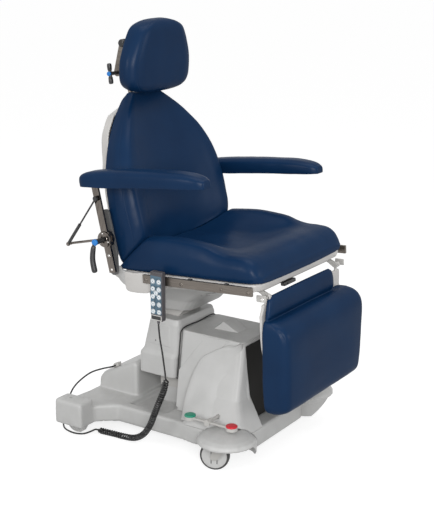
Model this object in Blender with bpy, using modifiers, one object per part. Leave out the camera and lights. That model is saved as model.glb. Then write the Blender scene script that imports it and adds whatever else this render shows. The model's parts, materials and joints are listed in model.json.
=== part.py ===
"""Procedure chair on a rolling base, built as separate pieces on their joint axes.

Metres, +Z up, +X towards the patient's left, the chair faces -Y.
The origin lies on the floor under the middle of the chair's box.
"""
from math import atan2, cos, hypot, pi, radians, sin

import bmesh
import bpy
from mathutils import Matrix, Vector

# Fits
GAP = 0.0003            # between faces that touch
RUN = 0.0006            # round a pin or shaft
SLIDE = 0.001           # between telescoping tubes
SOFT_GAP = 0.004        # between upholstery that meets

# Floor plan, from the front edge of the accessory rails
DATUM_Y = 0.0029        # moves the plan so that the box is centred
DECK_BOTTOM = 0.040
DECK_TOP = 0.105
DECK_FRONT = -0.262
DECK_REAR = 0.438
DECK_HALF_FRONT = 0.235
DECK_HALF_WAIST = 0.226
WAIST_FRONT = -0.010
WAIST_REAR = 0.262
COVER_WALL = 0.005
FOOT_INNER = 0.283
FOOT_OUTER = 0.355
FOOT_FRONT = 0.326
FOOT_REAR = 0.446
FOOT_TOP = 0.132
RECESS_DEPTH = 0.020
RECESS_HALF = 0.190
RECESS_FRONT = 0.076
RECESS_REAR = 0.238
HUMP_HALF = 0.125
HUMP_FRONT = 0.254
HUMP_TOP = 0.232
HUMP_SHOULDER = 0.184

# Rolling gear
CASTOR_RADIUS = 0.050
CASTOR_WIDTH = 0.030
CASTOR_TRAIL = 0.040
CASTOR_TURN = radians(22.0)
CASTOR_OUTSET = 0.025
CASTOR_PIVOT_Y = -0.222
AXLE_RADIUS = 0.006
FORK_CHEEK = 0.005
FORK_CROWN = 0.010
STEM_RADIUS = 0.009
REAR_WHEEL_RADIUS = 0.045
REAR_WHEEL_WIDTH = 0.024
REAR_WHEEL_X = 0.300
REAR_WHEEL_Y = 0.388
DOME_RADIUS = 0.100
DOME_RISE = 0.043
DOME_RIM = 0.095

# Chassis and lift
CHASSIS_BOTTOM = 0.048
CHASSIS_HEIGHT = 0.028
CHASSIS_TUBE = 0.040
CHASSIS_HALF = 0.155
ARM_PLATE = 0.010
MAST_HALF_X = 0.058
MAST_HALF_Y = 0.035
MAST_WALL = 0.005
MAST_TOP = 0.392
COLUMN_Y = 0.150
COLUMN_WALL = 0.006
COLUMN_BOTTOM = 0.148
COLUMN_TOP = 0.432
YOKE_INNER = 0.056
YOKE_THICK = 0.010
TILT_PIN = 0.012
COVER_TOP = 0.420
COVER_STEP = 0.288
COVER_BOTTOM = 0.208

# Front tower
TOWER_TOP = 0.390
TOWER_HALF_TOP = 0.108
TOWER_HALF_FOOT = 0.150
TOWER_REAR = 0.068
TOWER_FRONT_TOP = -0.185
TOWER_FRONT_FOOT = -0.206
SKIRT_OUTSET = 0.001
PANEL_HALF = 0.098
PANEL_THICK = 0.004

# Brake rocker
BRAKE_OUTSET = 0.002
BRAKE_Y = -0.150
BRAKE_Z = 0.153
BRAKE_REACH_REAR = 0.074
BRAKE_REACH_FRONT = 0.092
BRAKE_PAD_RADIUS = 0.020
BRAKE_SHAFT = 0.006

# Seat section, from the tilt axis, in the seat's own level frame
TILT_Y = 0.060
TILT_Z = 0.500
SEAT_TILT = radians(3.5)
SEAT_WIDTH = 0.570
SEAT_FRONT = -0.415
SEAT_REAR = 0.125
SEAT_CORNER = 0.050
SHELL_TOP = 0.1355
SHELL_LIP_FRONT = 0.111
SHELL_LIP_REAR = 0.078
SHELL_WALL = 0.0045
SEAT_BEAM = 0.030
SEAT_BEAM_X = 0.215
SEAT_CROSS = 0.025
EAR_THICK = 0.006
EAR_SIDE = 0.0025
SEAT_CENTRE_RISE = 0.070
SEAT_BOLSTER_RISE = 0.118
HULL_DROP = -0.040
HULL_WALL = 0.004

# Accessory rails and handset
RAIL_STANDOFF = 0.0155
RAIL_HEIGHT = 0.0286
RAIL_THICK = 0.0095
RAIL_LENGTH = 0.423
RAIL_FRONT = -0.413
RAIL_LEVEL = 0.122
RAIL_POST = 0.008
HANDSET_Y = -0.062
HANDSET_WIDTH = 0.048
HANDSET_RISE = 0.036
HANDSET_DROP = 0.130
HANDSET_THICK = 0.022
HOOK_WIDTH = 0.024
HOOK_WALL = 0.003
BUTTON_RADIUS = 0.0062
BUTTON_PITCH_Y = 0.024
BUTTON_PITCH_Z = 0.0255
BUTTON_ROW_TOP = 0.004
BUTTON_DEPTH = 0.0045
BUTTON_PROUD = 0.0014

# Leg section, from its hinge
LEG_HINGE_Y = -0.418
LEG_HINGE_Z = 0.087
LEG_HALF = 0.250
LEG_TOP = -0.016
LEG_CREASE = -0.088
LEG_BOTTOM = -0.372
LEG_PANEL = 0.010
LEG_PANEL_SET = 0.002
LEG_STRIP_DEPTH = 0.016
LEG_PAD_DEPTH = 0.084
LEG_PIN = 0.005
LEG_LUG = 0.008

# Backrest, from the recline axis, its own +Z along the back
RECLINE_Y = 0.137
RECLINE_Z = 0.137
BACK_LEAN = radians(10.0)
BACK_HEIGHT = 0.562
BACK_REST = -0.012
BACK_SLOPE = 0.65
BACK_SHELL_TOP = 0.545
BACK_SHELL_INSET = 0.022
BACK_PLATE = 0.006
BACK_PLATE_TOP = 0.205
BACK_BAR = 0.020
BACK_BAR_LOW = 0.060
BACK_BAR_HIGH = 0.178
RECLINE_PIN = 0.008

# Headrest, in the backrest's frame
POST_SET = 0.018
POST_RADIUS = 0.009
POST_FOOT = 0.360
SOCKET_WALL = 0.004
SOCKET_FOOT = 0.340
SOCKET_TOP = 0.500
HEAD_LOW_Y = 0.0235
HEAD_LOW_Z = 0.643
HEAD_HIGH_Y = -0.0256
HEAD_HIGH_Z = 0.7364
HEAD_BLOCK_HALF = 0.040
HEAD_BLOCK_RADIUS = 0.013
HEAD_LINK_THICK = 0.006
HEAD_AXLE = 0.008
HEAD_NOD = radians(17.2)
HEAD_FRONT = -0.159
HEAD_DEPTH = 0.084
HEAD_FOOT = -0.150
HEAD_TOP = 0.0885
HANDLE_STEM = 0.036
HANDLE_LENGTH = 0.064
HANDLE_RADIUS = 0.006

# Armrests, from the clamp hub, in the backrest's frame
HUB_Y = -0.0055
HUB_Z = 0.109
HUB_RADIUS = 0.027
HUB_THICK = 0.0124
BAR_WIDTH = 0.026
BAR_THICK = 0.008
BAR_SET = -0.0045
BAR_FOOT = -0.114
BAR_TOP = 0.1895
ARM_HEIGHT = {"right": 0.0, "left": -0.065}
ARM_LOWEST = -0.080
GUIDE_WALL = 0.006
GUIDE_HALF = 0.022
OUTRIGGER = 0.157
OUTRIGGER_RADIUS = 0.0045
OUTRIGGER_INSET = 0.0125
STRUT_OFFSET = 0.0075
STRUT_PIN_Z = 0.138
STRUT_PIN_RADIUS = 0.005
SLEEVE_RADIUS = 0.0055
SLEEVE_LENGTH = 0.085
STRUT_ROOM = 0.020
STRUT_ROD = 0.003
STRUT_EYE = 0.004
LEVER_BOSS = 0.050
LEVER_REACH = 0.095
ARM_PAD_X = 0.340
ARM_PAD_HALF = 0.042
ARM_PAD_HEIGHT = 0.052
ARM_PAD_REAR = 0.014
ARM_PAD_FRONT = -0.464
ARM_PAD_RISE = radians(8.6)
ARM_TAB = 0.005

# Handset cord
CORD_RADIUS = 0.0025
CURL_RADIUS = 0.0078
CURL_COUNT = 54
CURL_POINTS = 6

# Sizes that follow from those above
HALF_SEAT = SEAT_WIDTH / 2
EAR_IN = HALF_SEAT + EAR_SIDE
PLATE_IN = EAR_IN + EAR_THICK + GAP
CLAMP_IN = PLATE_IN + BACK_PLATE + GAP
BAR_IN = CLAMP_IN + HUB_THICK + GAP
BAR_OUT = BAR_IN + BAR_THICK
RAIL_OUT = HALF_SEAT + RAIL_STANDOFF + RAIL_THICK
PAD_SEAT = SHELL_TOP + GAP
CASTOR_CROWN = 2 * CASTOR_RADIUS + 0.003
CASTOR_PIVOT_X = DECK_HALF_FRONT + CASTOR_OUTSET
BRAKE_X = CASTOR_PIVOT_X + BRAKE_OUTSET
SKIRT_HALF_FOOT = DECK_HALF_FRONT + SKIRT_OUTSET
BACK_SHELL_DEPTH = POST_SET + POST_RADIUS + SOCKET_WALL + SHELL_WALL - BACK_REST + SLIDE
SIDES = {"right": -1, "left": 1}

PARTS = None
EMPTIES = {}
WORLD = {}

# Colours of the finishes: red, green, blue, roughness, metallic
FINISHES = {
    "navy_vinyl": (0.010, 0.030, 0.090, 0.45, 0.0),
    "base_grey": (0.52, 0.52, 0.51, 0.45, 0.0),
    "shell_white": (0.66, 0.64, 0.61, 0.40, 0.0),
    "panel_dark": (0.035, 0.033, 0.030, 0.55, 0.0),
    "frame_paint": (0.12, 0.12, 0.12, 0.50, 0.0),
    "brushed_steel": (0.28, 0.26, 0.24, 0.32, 1.0),
    "black_plastic": (0.015, 0.015, 0.016, 0.40, 0.0),
    "wheel_grey": (0.45, 0.45, 0.45, 0.50, 0.0),
    "handset_grey": (0.075, 0.070, 0.078, 0.45, 0.0),
    "button_white": (0.85, 0.88, 0.90, 0.40, 0.0),
    "cord_black": (0.010, 0.010, 0.010, 0.45, 0.0),
}


def clear_scene():
    """Remove the objects of the scene and make the collection for the parts."""
    global PARTS
    for old in list(bpy.data.objects):
        bpy.data.objects.remove(old, do_unlink=True)
    PARTS = bpy.data.collections.new("procedure_chair")
    bpy.context.scene.collection.children.link(PARTS)


def finish(name):
    """Return the Principled material of a finish."""
    material = bpy.data.materials.get(name)
    if material is None:
        red, green, blue, rough, metal = FINISHES[name]
        material = bpy.data.materials.new(name)
        material.use_nodes = True
        shader = material.node_tree.nodes["Principled BSDF"]
        shader.inputs["Base Color"].default_value = (red, green, blue, 1.0)
        shader.inputs["Roughness"].default_value = rough
        shader.inputs["Metallic"].default_value = metal
    return material


def body(name, parent=None, place=(0.0, 0.0, 0.0), turn=0.0, axis="X"):
    """Put an empty on a joint axis, turned about one axis, under its parent body."""
    empty = bpy.data.objects.new(name + "_axis", None)
    PARTS.objects.link(empty)
    local = Matrix.Translation(place) @ Matrix.Rotation(turn, 4, axis)
    empty.matrix_basis = local
    WORLD[name] = local
    if parent:
        empty.parent = EMPTIES[parent]
        WORLD[name] = WORLD[parent] @ local
    EMPTIES[name] = empty


def part(piece, name, colour, owner):
    """Name a finished piece, give it its material and hang it on its body."""
    piece.name = name
    piece.data.name = name
    piece.data.materials.clear()
    piece.data.materials.append(finish(colour))
    if piece.type == "MESH":
        piece.data.shade_smooth()
        piece.data.set_sharp_from_angle(angle=radians(35))
    piece.parent = EMPTIES[owner]
    return piece


def mesh_piece(form, name="piece"):
    """Turn a bmesh into an object with its faces pointing out."""
    bmesh.ops.recalc_face_normals(form, faces=form.faces)
    mesh = bpy.data.meshes.new(name)
    form.to_mesh(mesh)
    form.free()
    piece = bpy.data.objects.new(name, mesh)
    PARTS.objects.link(piece)
    return piece


def box(low, high):
    """Make a box between two corners."""
    size = [b - a for a, b in zip(low, high)]
    middle = [(a + b) / 2 for a, b in zip(low, high)]
    form = bmesh.new()
    matrix = Matrix.Translation(middle) @ Matrix.Diagonal((*size, 1.0))
    bmesh.ops.create_cube(form, size=1.0, matrix=matrix)
    return mesh_piece(form)


def rod(start, end, radius, sides=12, end_radius=None):
    """Make a round bar, or a cone, between two points."""
    along = Vector(end) - Vector(start)
    turn = along.to_track_quat("Z", "Y").to_matrix().to_4x4()
    middle = (Vector(start) + Vector(end)) / 2
    form = bmesh.new()
    bmesh.ops.create_cone(
        form, cap_ends=True, segments=sides, radius1=radius,
        radius2=radius if end_radius is None else end_radius,
        depth=along.length, matrix=Matrix.Translation(middle) @ turn)
    return mesh_piece(form)


def ball(centre, radii, across=16, up=8):
    """Make a ball, stretched along the axes."""
    form = bmesh.new()
    matrix = Matrix.Translation(centre) @ Matrix.Diagonal((*radii, 1.0))
    bmesh.ops.create_uvsphere(form, u_segments=across, v_segments=up, radius=1.0, matrix=matrix)
    return mesh_piece(form)


def loft(rings):
    """Skin rings that have equal counts of points and cap both ends."""
    form = bmesh.new()
    rows = [[form.verts.new(point) for point in ring] for ring in rings]
    count = len(rows[0])
    for first, second in zip(rows, rows[1:]):
        for i in range(count):
            j = (i + 1) % count
            form.faces.new((first[i], first[j], second[j], second[i]))
    form.faces.new(rows[0])
    form.faces.new(rows[-1])
    return mesh_piece(form)


def prism(outline, low, high, axis="Z"):
    """Extrude a plane outline along an axis."""
    lift = {
        "Z": lambda a, b, c: (a, b, c),
        "X": lambda a, b, c: (c, a, b),
    }[axis]
    return loft([[lift(a, b, c) for a, b in outline] for c in (low, high)])


def rounded(half, rear, front, radius, steps=3):
    """Outline of a rectangle with arc corners, as (x, y) pairs."""
    corners = ((half, rear, 0), (-half, rear, 1), (-half, front, 2), (half, front, 3))
    points = []
    for x, y, quarter in corners:
        side_x = 1 if x > 0 else -1
        side_y = 1 if quarter in (0, 1) else -1
        for i in range(steps + 1):
            turn = (quarter + i / steps) * pi / 2
            points.append((x - side_x * radius + radius * cos(turn),
                           y - side_y * radius + radius * sin(turn)))
    return points


def level(outline, height):
    """Lift a plane outline to one height."""
    return [(x, y, height) for x, y in outline]


def mirrored(half):
    """Close a half outline that starts on the centre line with its mirror."""
    inner = half[1:] if abs(half[-1][0]) > 1e-9 else half[1:-1]
    return half + [(-point[0], *point[1:]) for point in reversed(inner)]


def bake(piece):
    """Apply an object's modifiers to its mesh."""
    graph = bpy.context.evaluated_depsgraph_get()
    mesh = bpy.data.meshes.new_from_object(piece.evaluated_get(graph))
    piece.modifiers.clear()
    piece.data = mesh
    return piece


def combine(piece, tools, operation):
    """Run Boolean operations with tool pieces, then remove the tools."""
    for tool in tools:
        step = piece.modifiers.new("step", "BOOLEAN")
        step.object = tool
        step.operation = operation
        step.solver = "EXACT"
    bake(piece)
    for tool in tools:
        bpy.data.objects.remove(tool, do_unlink=True)
    return piece


def join(piece, *tools):
    """Unite pieces into one body."""
    return combine(piece, tools, "UNION")


def cut(piece, *tools):
    """Cut tools out of a piece."""
    return combine(piece, tools, "DIFFERENCE")


def soften(piece, width, segments=2, angle=40):
    """Round the edges that are sharper than an angle."""
    step = piece.modifiers.new("round", "BEVEL")
    step.width = width
    step.segments = segments
    step.limit_method = "ANGLE"
    step.angle_limit = radians(angle)
    return bake(piece)


def turned(profile, steps, axis="Z"):
    """Revolve a closed (radius, height) profile about Z, or lay it along X."""
    form = bmesh.new()
    points = [form.verts.new((radius, 0.0, height)) for radius, height in profile]
    for first, second in zip(points, points[1:] + points[:1]):
        form.edges.new((first, second))
    mesh = bpy.data.meshes.new("profile")
    form.to_mesh(mesh)
    form.free()
    piece = bpy.data.objects.new("turned", mesh)
    PARTS.objects.link(piece)
    screw = piece.modifiers.new("turn", "SCREW")
    screw.steps = steps
    screw.render_steps = steps
    screw.use_merge_vertices = True
    screw.merge_threshold = 0.00001
    bake(piece)
    form = bmesh.new()
    form.from_mesh(piece.data)
    if axis == "X":
        bmesh.ops.rotate(form, verts=form.verts, matrix=Matrix.Rotation(pi / 2, 3, "Y"))
    bmesh.ops.recalc_face_normals(form, faces=form.faces)
    form.to_mesh(piece.data)
    form.free()
    return piece


def move(piece, offset):
    """Shift a piece's mesh."""
    piece.data.transform(Matrix.Translation(offset))
    return piece


def blend(table, at):
    """Read a value from a table of (place, value) knots, eased between knots."""
    if at <= table[0][0]:
        return table[0][1]
    for (a, low), (b, high) in zip(table, table[1:]):
        if at <= b:
            share = (at - a) / (b - a)
            share = share * share * (3 - 2 * share)
            return low + (high - low) * share
    return table[-1][1]


def smooth(route, step):
    """Read points a step apart from a smooth curve through a route's points."""
    knots = [Vector(point) for point in route]
    knots = [2 * knots[0] - knots[1]] + knots + [2 * knots[-1] - knots[-2]]
    fine = []
    for a, b, c, d in zip(knots, knots[1:], knots[2:], knots[3:]):
        for i in range(24):
            t = i / 24
            fine.append(0.5 * (2 * b + (c - a) * t + (2 * a - 5 * b + 4 * c - d) * t ** 2
                               + (3 * b - a - 3 * c + d) * t ** 3))
    fine.append(knots[-2])
    length = sum((q - p).length for p, q in zip(fine, fine[1:]))
    count = max(2, round(length / step))
    picked, walked, index = [fine[0]], 0.0, 0
    for k in range(1, count):
        target = length * k / count
        while walked + (fine[index + 1] - fine[index]).length < target:
            walked += (fine[index + 1] - fine[index]).length
            index += 1
        piece = fine[index + 1] - fine[index]
        picked.append(fine[index] + piece * ((target - walked) / piece.length))
    return picked + [fine[-1]]


def tube(points, radius, resolution, name):
    """Run a round cord along points."""
    curve = bpy.data.curves.new(name, "CURVE")
    curve.dimensions = "3D"
    curve.bevel_depth = radius
    curve.bevel_resolution = resolution
    curve.use_fill_caps = True
    spline = curve.splines.new("POLY")
    spline.points.add(len(points) - 1)
    for target, point in zip(spline.points, points):
        target.co = (*point, 1.0)
    piece = bpy.data.objects.new(name, curve)
    PARTS.objects.link(piece)
    return piece


def make_bodies():
    """Place an empty on each joint axis."""
    body("base", None, (0.0, DATUM_Y, 0.0))
    body("carriage", "base", (0.0, COLUMN_Y, 0.0))
    body("seat", "base", (0.0, TILT_Y, TILT_Z), -SEAT_TILT)
    body("back", "seat", (0.0, RECLINE_Y, RECLINE_Z), -BACK_LEAN)
    body("leg", "seat", (0.0, LEG_HINGE_Y, LEG_HINGE_Z))
    body("head_post", "back", (0.0, POST_SET, SOCKET_TOP))
    body("head_link", "back", (0.0, HEAD_LOW_Y, HEAD_LOW_Z))
    body("head", "back", (0.0, HEAD_HIGH_Y, HEAD_HIGH_Z), HEAD_NOD)
    body("brake", "base", (0.0, BRAKE_Y, BRAKE_Z))
    body("handset", "seat", (-RAIL_OUT, HANDSET_Y, RAIL_LEVEL), SEAT_TILT)
    for name, side in SIDES.items():
        body("clamp_" + name, "back", (0.0, HUB_Y, HUB_Z))
        body("bar_" + name, "clamp_" + name, (0.0, BAR_SET, ARM_HEIGHT[name]))
        body("swivel_" + name, "base", (side * CASTOR_PIVOT_X, CASTOR_PIVOT_Y, 0.0),
             -side * CASTOR_TURN, "Z")
        body("roll_" + name, "swivel_" + name, (0.0, CASTOR_TRAIL, CASTOR_RADIUS))
        body("rear_roll_" + name, "base", (side * REAR_WHEEL_X, REAR_WHEEL_Y, REAR_WHEEL_RADIUS))


def deck_outline(inset):
    """Plan of the base cover, drawn in by an inset."""
    half = [
        (0.0, DECK_FRONT + inset),
        (DECK_HALF_FRONT - 0.07 - inset / 2, DECK_FRONT + inset),
        (DECK_HALF_FRONT - inset, DECK_FRONT + 0.07 + inset / 2),
        (DECK_HALF_FRONT - inset, WAIST_FRONT - 0.06),
        (DECK_HALF_WAIST - inset, WAIST_FRONT),
        (DECK_HALF_WAIST - inset, WAIST_REAR + inset / 2),
        (FOOT_INNER + inset / 2, FOOT_FRONT + inset),
        (FOOT_OUTER - inset, FOOT_FRONT + inset),
        (FOOT_OUTER - inset, FOOT_REAR - inset),
        (FOOT_INNER - 0.04 + inset, FOOT_REAR - inset),
        (DECK_HALF_WAIST - 0.05 + inset, DECK_REAR - inset),
        (0.0, DECK_REAR - inset),
    ]
    return mirrored(half)


def dome(side, grow, foot):
    """One front castor dome, with a straight rim down to its foot."""
    radius = DOME_RADIUS + grow
    levels = [(foot, 1.0)]
    for lean in (0.0, 0.32, 0.64, 0.95, 1.25, 1.45):
        levels.append((DOME_RIM + (DOME_RISE + grow) * sin(lean), cos(lean)))
    rings = []
    for height, share in levels:
        rings.append([(side * CASTOR_PIVOT_X + radius * share * cos(2 * pi * i / 20),
                       CASTOR_PIVOT_Y + radius * share * sin(2 * pi * i / 20), height) for i in range(20)])
    return loft(rings)


def build_base_cover():
    """Moulded base cover: deck, feet, hump and castor domes, open underneath."""
    deck = soften(prism(deck_outline(0.0), DECK_BOTTOM, DECK_TOP), 0.008, 2, 25)
    hump_side = [
        (DECK_REAR - 0.004, DECK_TOP - 0.01), (DECK_REAR - 0.008, HUMP_SHOULDER - 0.043),
        (DECK_REAR - 0.025, HUMP_SHOULDER - 0.02), (DECK_REAR - 0.065, HUMP_SHOULDER),
        (HUMP_FRONT + 0.016, HUMP_TOP), (HUMP_FRONT, HUMP_TOP - 0.006), (HUMP_FRONT, DECK_TOP - 0.01),
    ]
    hump = soften(prism(hump_side, -HUMP_HALF, HUMP_HALF, "X"), 0.012, 2, 50)
    raised = [hump]
    hollows = [
        prism(deck_outline(COVER_WALL), DECK_BOTTOM - 0.02, DECK_TOP - RECESS_DEPTH - COVER_WALL),
        soften(box((-RECESS_HALF, RECESS_FRONT, DECK_TOP - RECESS_DEPTH),
                   (RECESS_HALF, RECESS_REAR, DECK_TOP + 0.05)), 0.006, 1),
        box((-MAST_HALF_X - SLIDE, COLUMN_Y - MAST_HALF_Y - SLIDE, 0.0),
            (MAST_HALF_X + SLIDE, COLUMN_Y + MAST_HALF_Y + SLIDE, DECK_TOP + 0.05)),
    ]
    for side in SIDES.values():
        inner, outer = sorted((side * FOOT_INNER, side * FOOT_OUTER))
        raised.append(soften(box((inner, FOOT_FRONT, DECK_BOTTOM), (outer, FOOT_REAR, FOOT_TOP)), 0.010))
        raised.append(dome(side, 0.0, DOME_RIM - 0.006))
        hollows.append(dome(side, -COVER_WALL, 0.0))
        near, far = sorted((side * (CHASSIS_HALF - CHASSIS_TUBE - 0.004), side * (CASTOR_PIVOT_X - 0.030)))
        hollows.append(box((near, CASTOR_PIVOT_Y - 0.026, 0.0), (far, CASTOR_PIVOT_Y + 0.026,
                                                                 DOME_RIM + 0.05)))
        half = REAR_WHEEL_WIDTH / 2 + 0.004
        reach = REAR_WHEEL_RADIUS + 0.005
        hollows.append(box((side * REAR_WHEEL_X - half, REAR_WHEEL_Y - reach, 0.0),
                           (side * REAR_WHEEL_X + half, REAR_WHEEL_Y + reach, 2 * REAR_WHEEL_RADIUS + 0.005)))
    cover = cut(join(deck, *raised), *hollows)
    part(cover, "base_cover", "base_grey", "base")


def build_base_frame():
    """Welded chassis with the mast, the castor arms and the rear axle stubs."""
    top = CHASSIS_BOTTOM + CHASSIS_HEIGHT
    front = DECK_FRONT + 0.016
    rear = REAR_WHEEL_Y + CHASSIS_TUBE / 2
    arm_top = CASTOR_CROWN + FORK_CROWN + GAP + ARM_PLATE
    frame = box((-CHASSIS_HALF, front, CHASSIS_BOTTOM), (CHASSIS_HALF, front + CHASSIS_TUBE, top))
    foot = REAR_WHEEL_X - REAR_WHEEL_WIDTH / 2 - 0.006
    pieces = [box((-foot, rear - CHASSIS_TUBE, CHASSIS_BOTTOM - 0.004), (foot, rear, top))]
    for side in SIDES.values():
        low, high = sorted((side * (CHASSIS_HALF - CHASSIS_TUBE), side * CHASSIS_HALF))
        pieces.append(box((low, front, CHASSIS_BOTTOM), (high, rear, top)))
        pieces.append(box((low, CASTOR_PIVOT_Y - 0.015, CHASSIS_BOTTOM), (high, CASTOR_PIVOT_Y + 0.015,
                                                                          arm_top)))
        low, high = sorted((side * (CHASSIS_HALF - CHASSIS_TUBE), side * (CASTOR_PIVOT_X + 0.016)))
        pieces.append(box((low, CASTOR_PIVOT_Y - 0.015, arm_top - ARM_PLATE),
                          (high, CASTOR_PIVOT_Y + 0.015, arm_top)))
        axle = Vector((side * REAR_WHEEL_X, REAR_WHEEL_Y, REAR_WHEEL_RADIUS))
        reach = Vector((side * (REAR_WHEEL_WIDTH / 2 + 0.003), 0, 0))
        pieces.append(rod(axle - 3 * reach, axle + reach, AXLE_RADIUS))
    pieces.append(box((-CHASSIS_HALF, COLUMN_Y - 0.06, CHASSIS_BOTTOM), (CHASSIS_HALF, COLUMN_Y + 0.06, top)))
    pieces.append(box((-CHASSIS_TUBE / 2, front + 0.01, CHASSIS_BOTTOM), (CHASSIS_TUBE / 2, rear - 0.01,
                                                                          top)))
    pieces.append(box((-MAST_HALF_X, COLUMN_Y - MAST_HALF_Y, CHASSIS_BOTTOM),
                      (MAST_HALF_X, COLUMN_Y + MAST_HALF_Y, MAST_TOP)))
    join(frame, *pieces)
    bore = box((-MAST_HALF_X + MAST_WALL, COLUMN_Y - MAST_HALF_Y + MAST_WALL, top),
               (MAST_HALF_X - MAST_WALL, COLUMN_Y + MAST_HALF_Y - MAST_WALL, MAST_TOP + 0.01))
    part(cut(frame, bore), "base_frame", "frame_paint", "base")
    jack = join(box((-0.040, COLUMN_Y - 0.026, top + GAP), (0.040, COLUMN_Y + 0.026, top + 0.09)),
                rod((0, COLUMN_Y, top + 0.08), (0, COLUMN_Y, MAST_TOP - 0.03), 0.022, 16))
    part(jack, "lift_actuator", "black_plastic", "base")


def tower_form(grow, top, foot):
    """Outer or inner form of the tower: a tapered housing with flared skirts."""
    housing = loft([
        level(rounded(TOWER_HALF_FOOT + grow, TOWER_REAR + grow, TOWER_FRONT_FOOT - grow, 0.014), foot),
        level(rounded(TOWER_HALF_TOP + grow, TOWER_REAR + grow, TOWER_FRONT_TOP - grow, 0.014), top),
    ])
    knots = [(0.00, SKIRT_HALF_FOOT, -0.012, 0.056), (0.10, SKIRT_HALF_FOOT - 0.014, -0.020, 0.044),
             (0.35, 0.176, -0.034, 0.012), (0.62, 0.140, -0.052, 0.006), (0.85, 0.119, -0.085, 0.006),
             (0.97, 0.109, -0.115, 0.005)]
    rings = []
    for share, half, rear, flare in knots:
        front = TOWER_FRONT_FOOT + share * (TOWER_FRONT_TOP - TOWER_FRONT_FOOT) - flare
        height = foot + share * (top - foot)
        rings.append(level(rounded(half + grow, rear + grow, front - grow, 0.025), height))
    return join(housing, loft(rings))


def build_tower():
    """Front tower with moulded peaks, and the dark panel on its face."""
    foot = DECK_TOP + GAP
    tower = tower_form(0.0, TOWER_TOP, foot)
    peaks = []
    for side in SIDES.values():
        peaks.append(rod((side * 0.05, -0.11, TOWER_TOP - 0.004), (side * 0.05, -0.11, TOWER_TOP + 0.016),
                         0.042, 4, 0.004))
    join(tower, *peaks)
    tools = [tower_form(-COVER_WALL, TOWER_TOP - COVER_WALL, foot - 0.02)]
    for side in SIDES.values():
        tools.append(dome(side, GAP, 0.0))
    tools.append(rod((-0.4, BRAKE_Y, BRAKE_Z), (0.4, BRAKE_Y, BRAKE_Z), BRAKE_SHAFT + SLIDE))
    slope = (TOWER_FRONT_TOP - TOWER_FRONT_FOOT) / (TOWER_TOP - foot)

    def face(height):
        return TOWER_FRONT_FOOT + slope * (height - foot) - 0.002

    brow = TOWER_TOP - 0.012
    bay = [(face(0.0), 0.0), (face(brow), brow), (-0.4, brow), (-0.4, 0.0)]
    tools.append(prism(bay, -PANEL_HALF - SLIDE, PANEL_HALF + SLIDE, "X"))
    part(cut(tower, *tools), "tower_cover", "base_grey", "base")

    low, high = DECK_TOP + 0.008, TOWER_TOP - 0.014
    rings = []
    for height in (low, high):
        rear = face(height) - GAP
        front = rear - PANEL_THICK
        rings.append([(-PANEL_HALF, rear, height), (PANEL_HALF, rear, height), (PANEL_HALF, front, height),
                      (-PANEL_HALF, front, height)])
    part(soften(loft(rings), 0.0015, 1), "front_panel", "panel_dark", "base")


def build_brake():
    """Foot rockers of both sides on their cross shaft, with round pads."""
    bar = rod((-BRAKE_X, 0, 0), (BRAKE_X, 0, 0), BRAKE_SHAFT)
    pieces = []
    for side in SIDES.values():
        x = side * BRAKE_X
        pieces.append(rod((x - 0.012, 0, 0), (x + 0.012, 0, 0), 0.011, 16))
        rocker = box((x - 0.008, -BRAKE_REACH_FRONT, -0.003), (x + 0.008, BRAKE_REACH_REAR, 0.004))
        pieces.append(soften(rocker, 0.002, 1))
        for reach in (-BRAKE_REACH_FRONT, BRAKE_REACH_REAR):
            pieces.append(rod((x, reach, -0.006), (x, reach, 0.006), BRAKE_PAD_RADIUS, 16,
                              BRAKE_PAD_RADIUS * 0.94))
    part(join(bar, *pieces), "brake_bar", "wheel_grey", "brake")


def wheel(radius, width, steps):
    """Turn a wheel with a rounded tyre, a dished hub and a bore, along X."""
    half = width / 2
    bore = AXLE_RADIUS + RUN
    profile = [(bore, half * 0.80), (radius * 0.72, half), (radius * 0.80, half * 0.86),
               (radius * 0.94, half * 0.86), (radius, half * 0.45), (radius, -half * 0.45),
               (radius * 0.94, -half * 0.86),
               (radius * 0.80, -half * 0.86), (radius * 0.72, -half), (bore, -half * 0.80)]
    return turned(profile, steps, "X")


def build_castors():
    """Front swivel castors and rear rollers."""
    for name, side in SIDES.items():
        half = CASTOR_WIDTH / 2 + RUN
        outer = half + FORK_CHEEK
        crown = box((-outer, -0.022, CASTOR_CROWN), (outer, 0.026, CASTOR_CROWN + FORK_CROWN))
        pieces = [rod((-outer, CASTOR_TRAIL, CASTOR_RADIUS), (outer, CASTOR_TRAIL, CASTOR_RADIUS),
                      AXLE_RADIUS)]
        cheek = [(-0.022, CASTOR_CROWN + 0.004), (0.026, CASTOR_CROWN + 0.004),
                 (CASTOR_TRAIL + 0.014, CASTOR_RADIUS), (CASTOR_TRAIL + 0.007, CASTOR_RADIUS - 0.013),
                 (CASTOR_TRAIL - 0.010, CASTOR_RADIUS - 0.011)]
        for low in (-outer, half):
            pieces.append(prism(cheek, low, low + FORK_CHEEK, "X"))
        part(join(crown, *pieces), "castor_fork_" + name, "wheel_grey", "swivel_" + name)
        part(wheel(CASTOR_RADIUS, CASTOR_WIDTH, 20), "castor_wheel_" + name, "wheel_grey", "roll_" + name)
        part(wheel(REAR_WHEEL_RADIUS, REAR_WHEEL_WIDTH, 16), "rear_wheel_" + name, "wheel_grey",
             "rear_roll_" + name)


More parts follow.
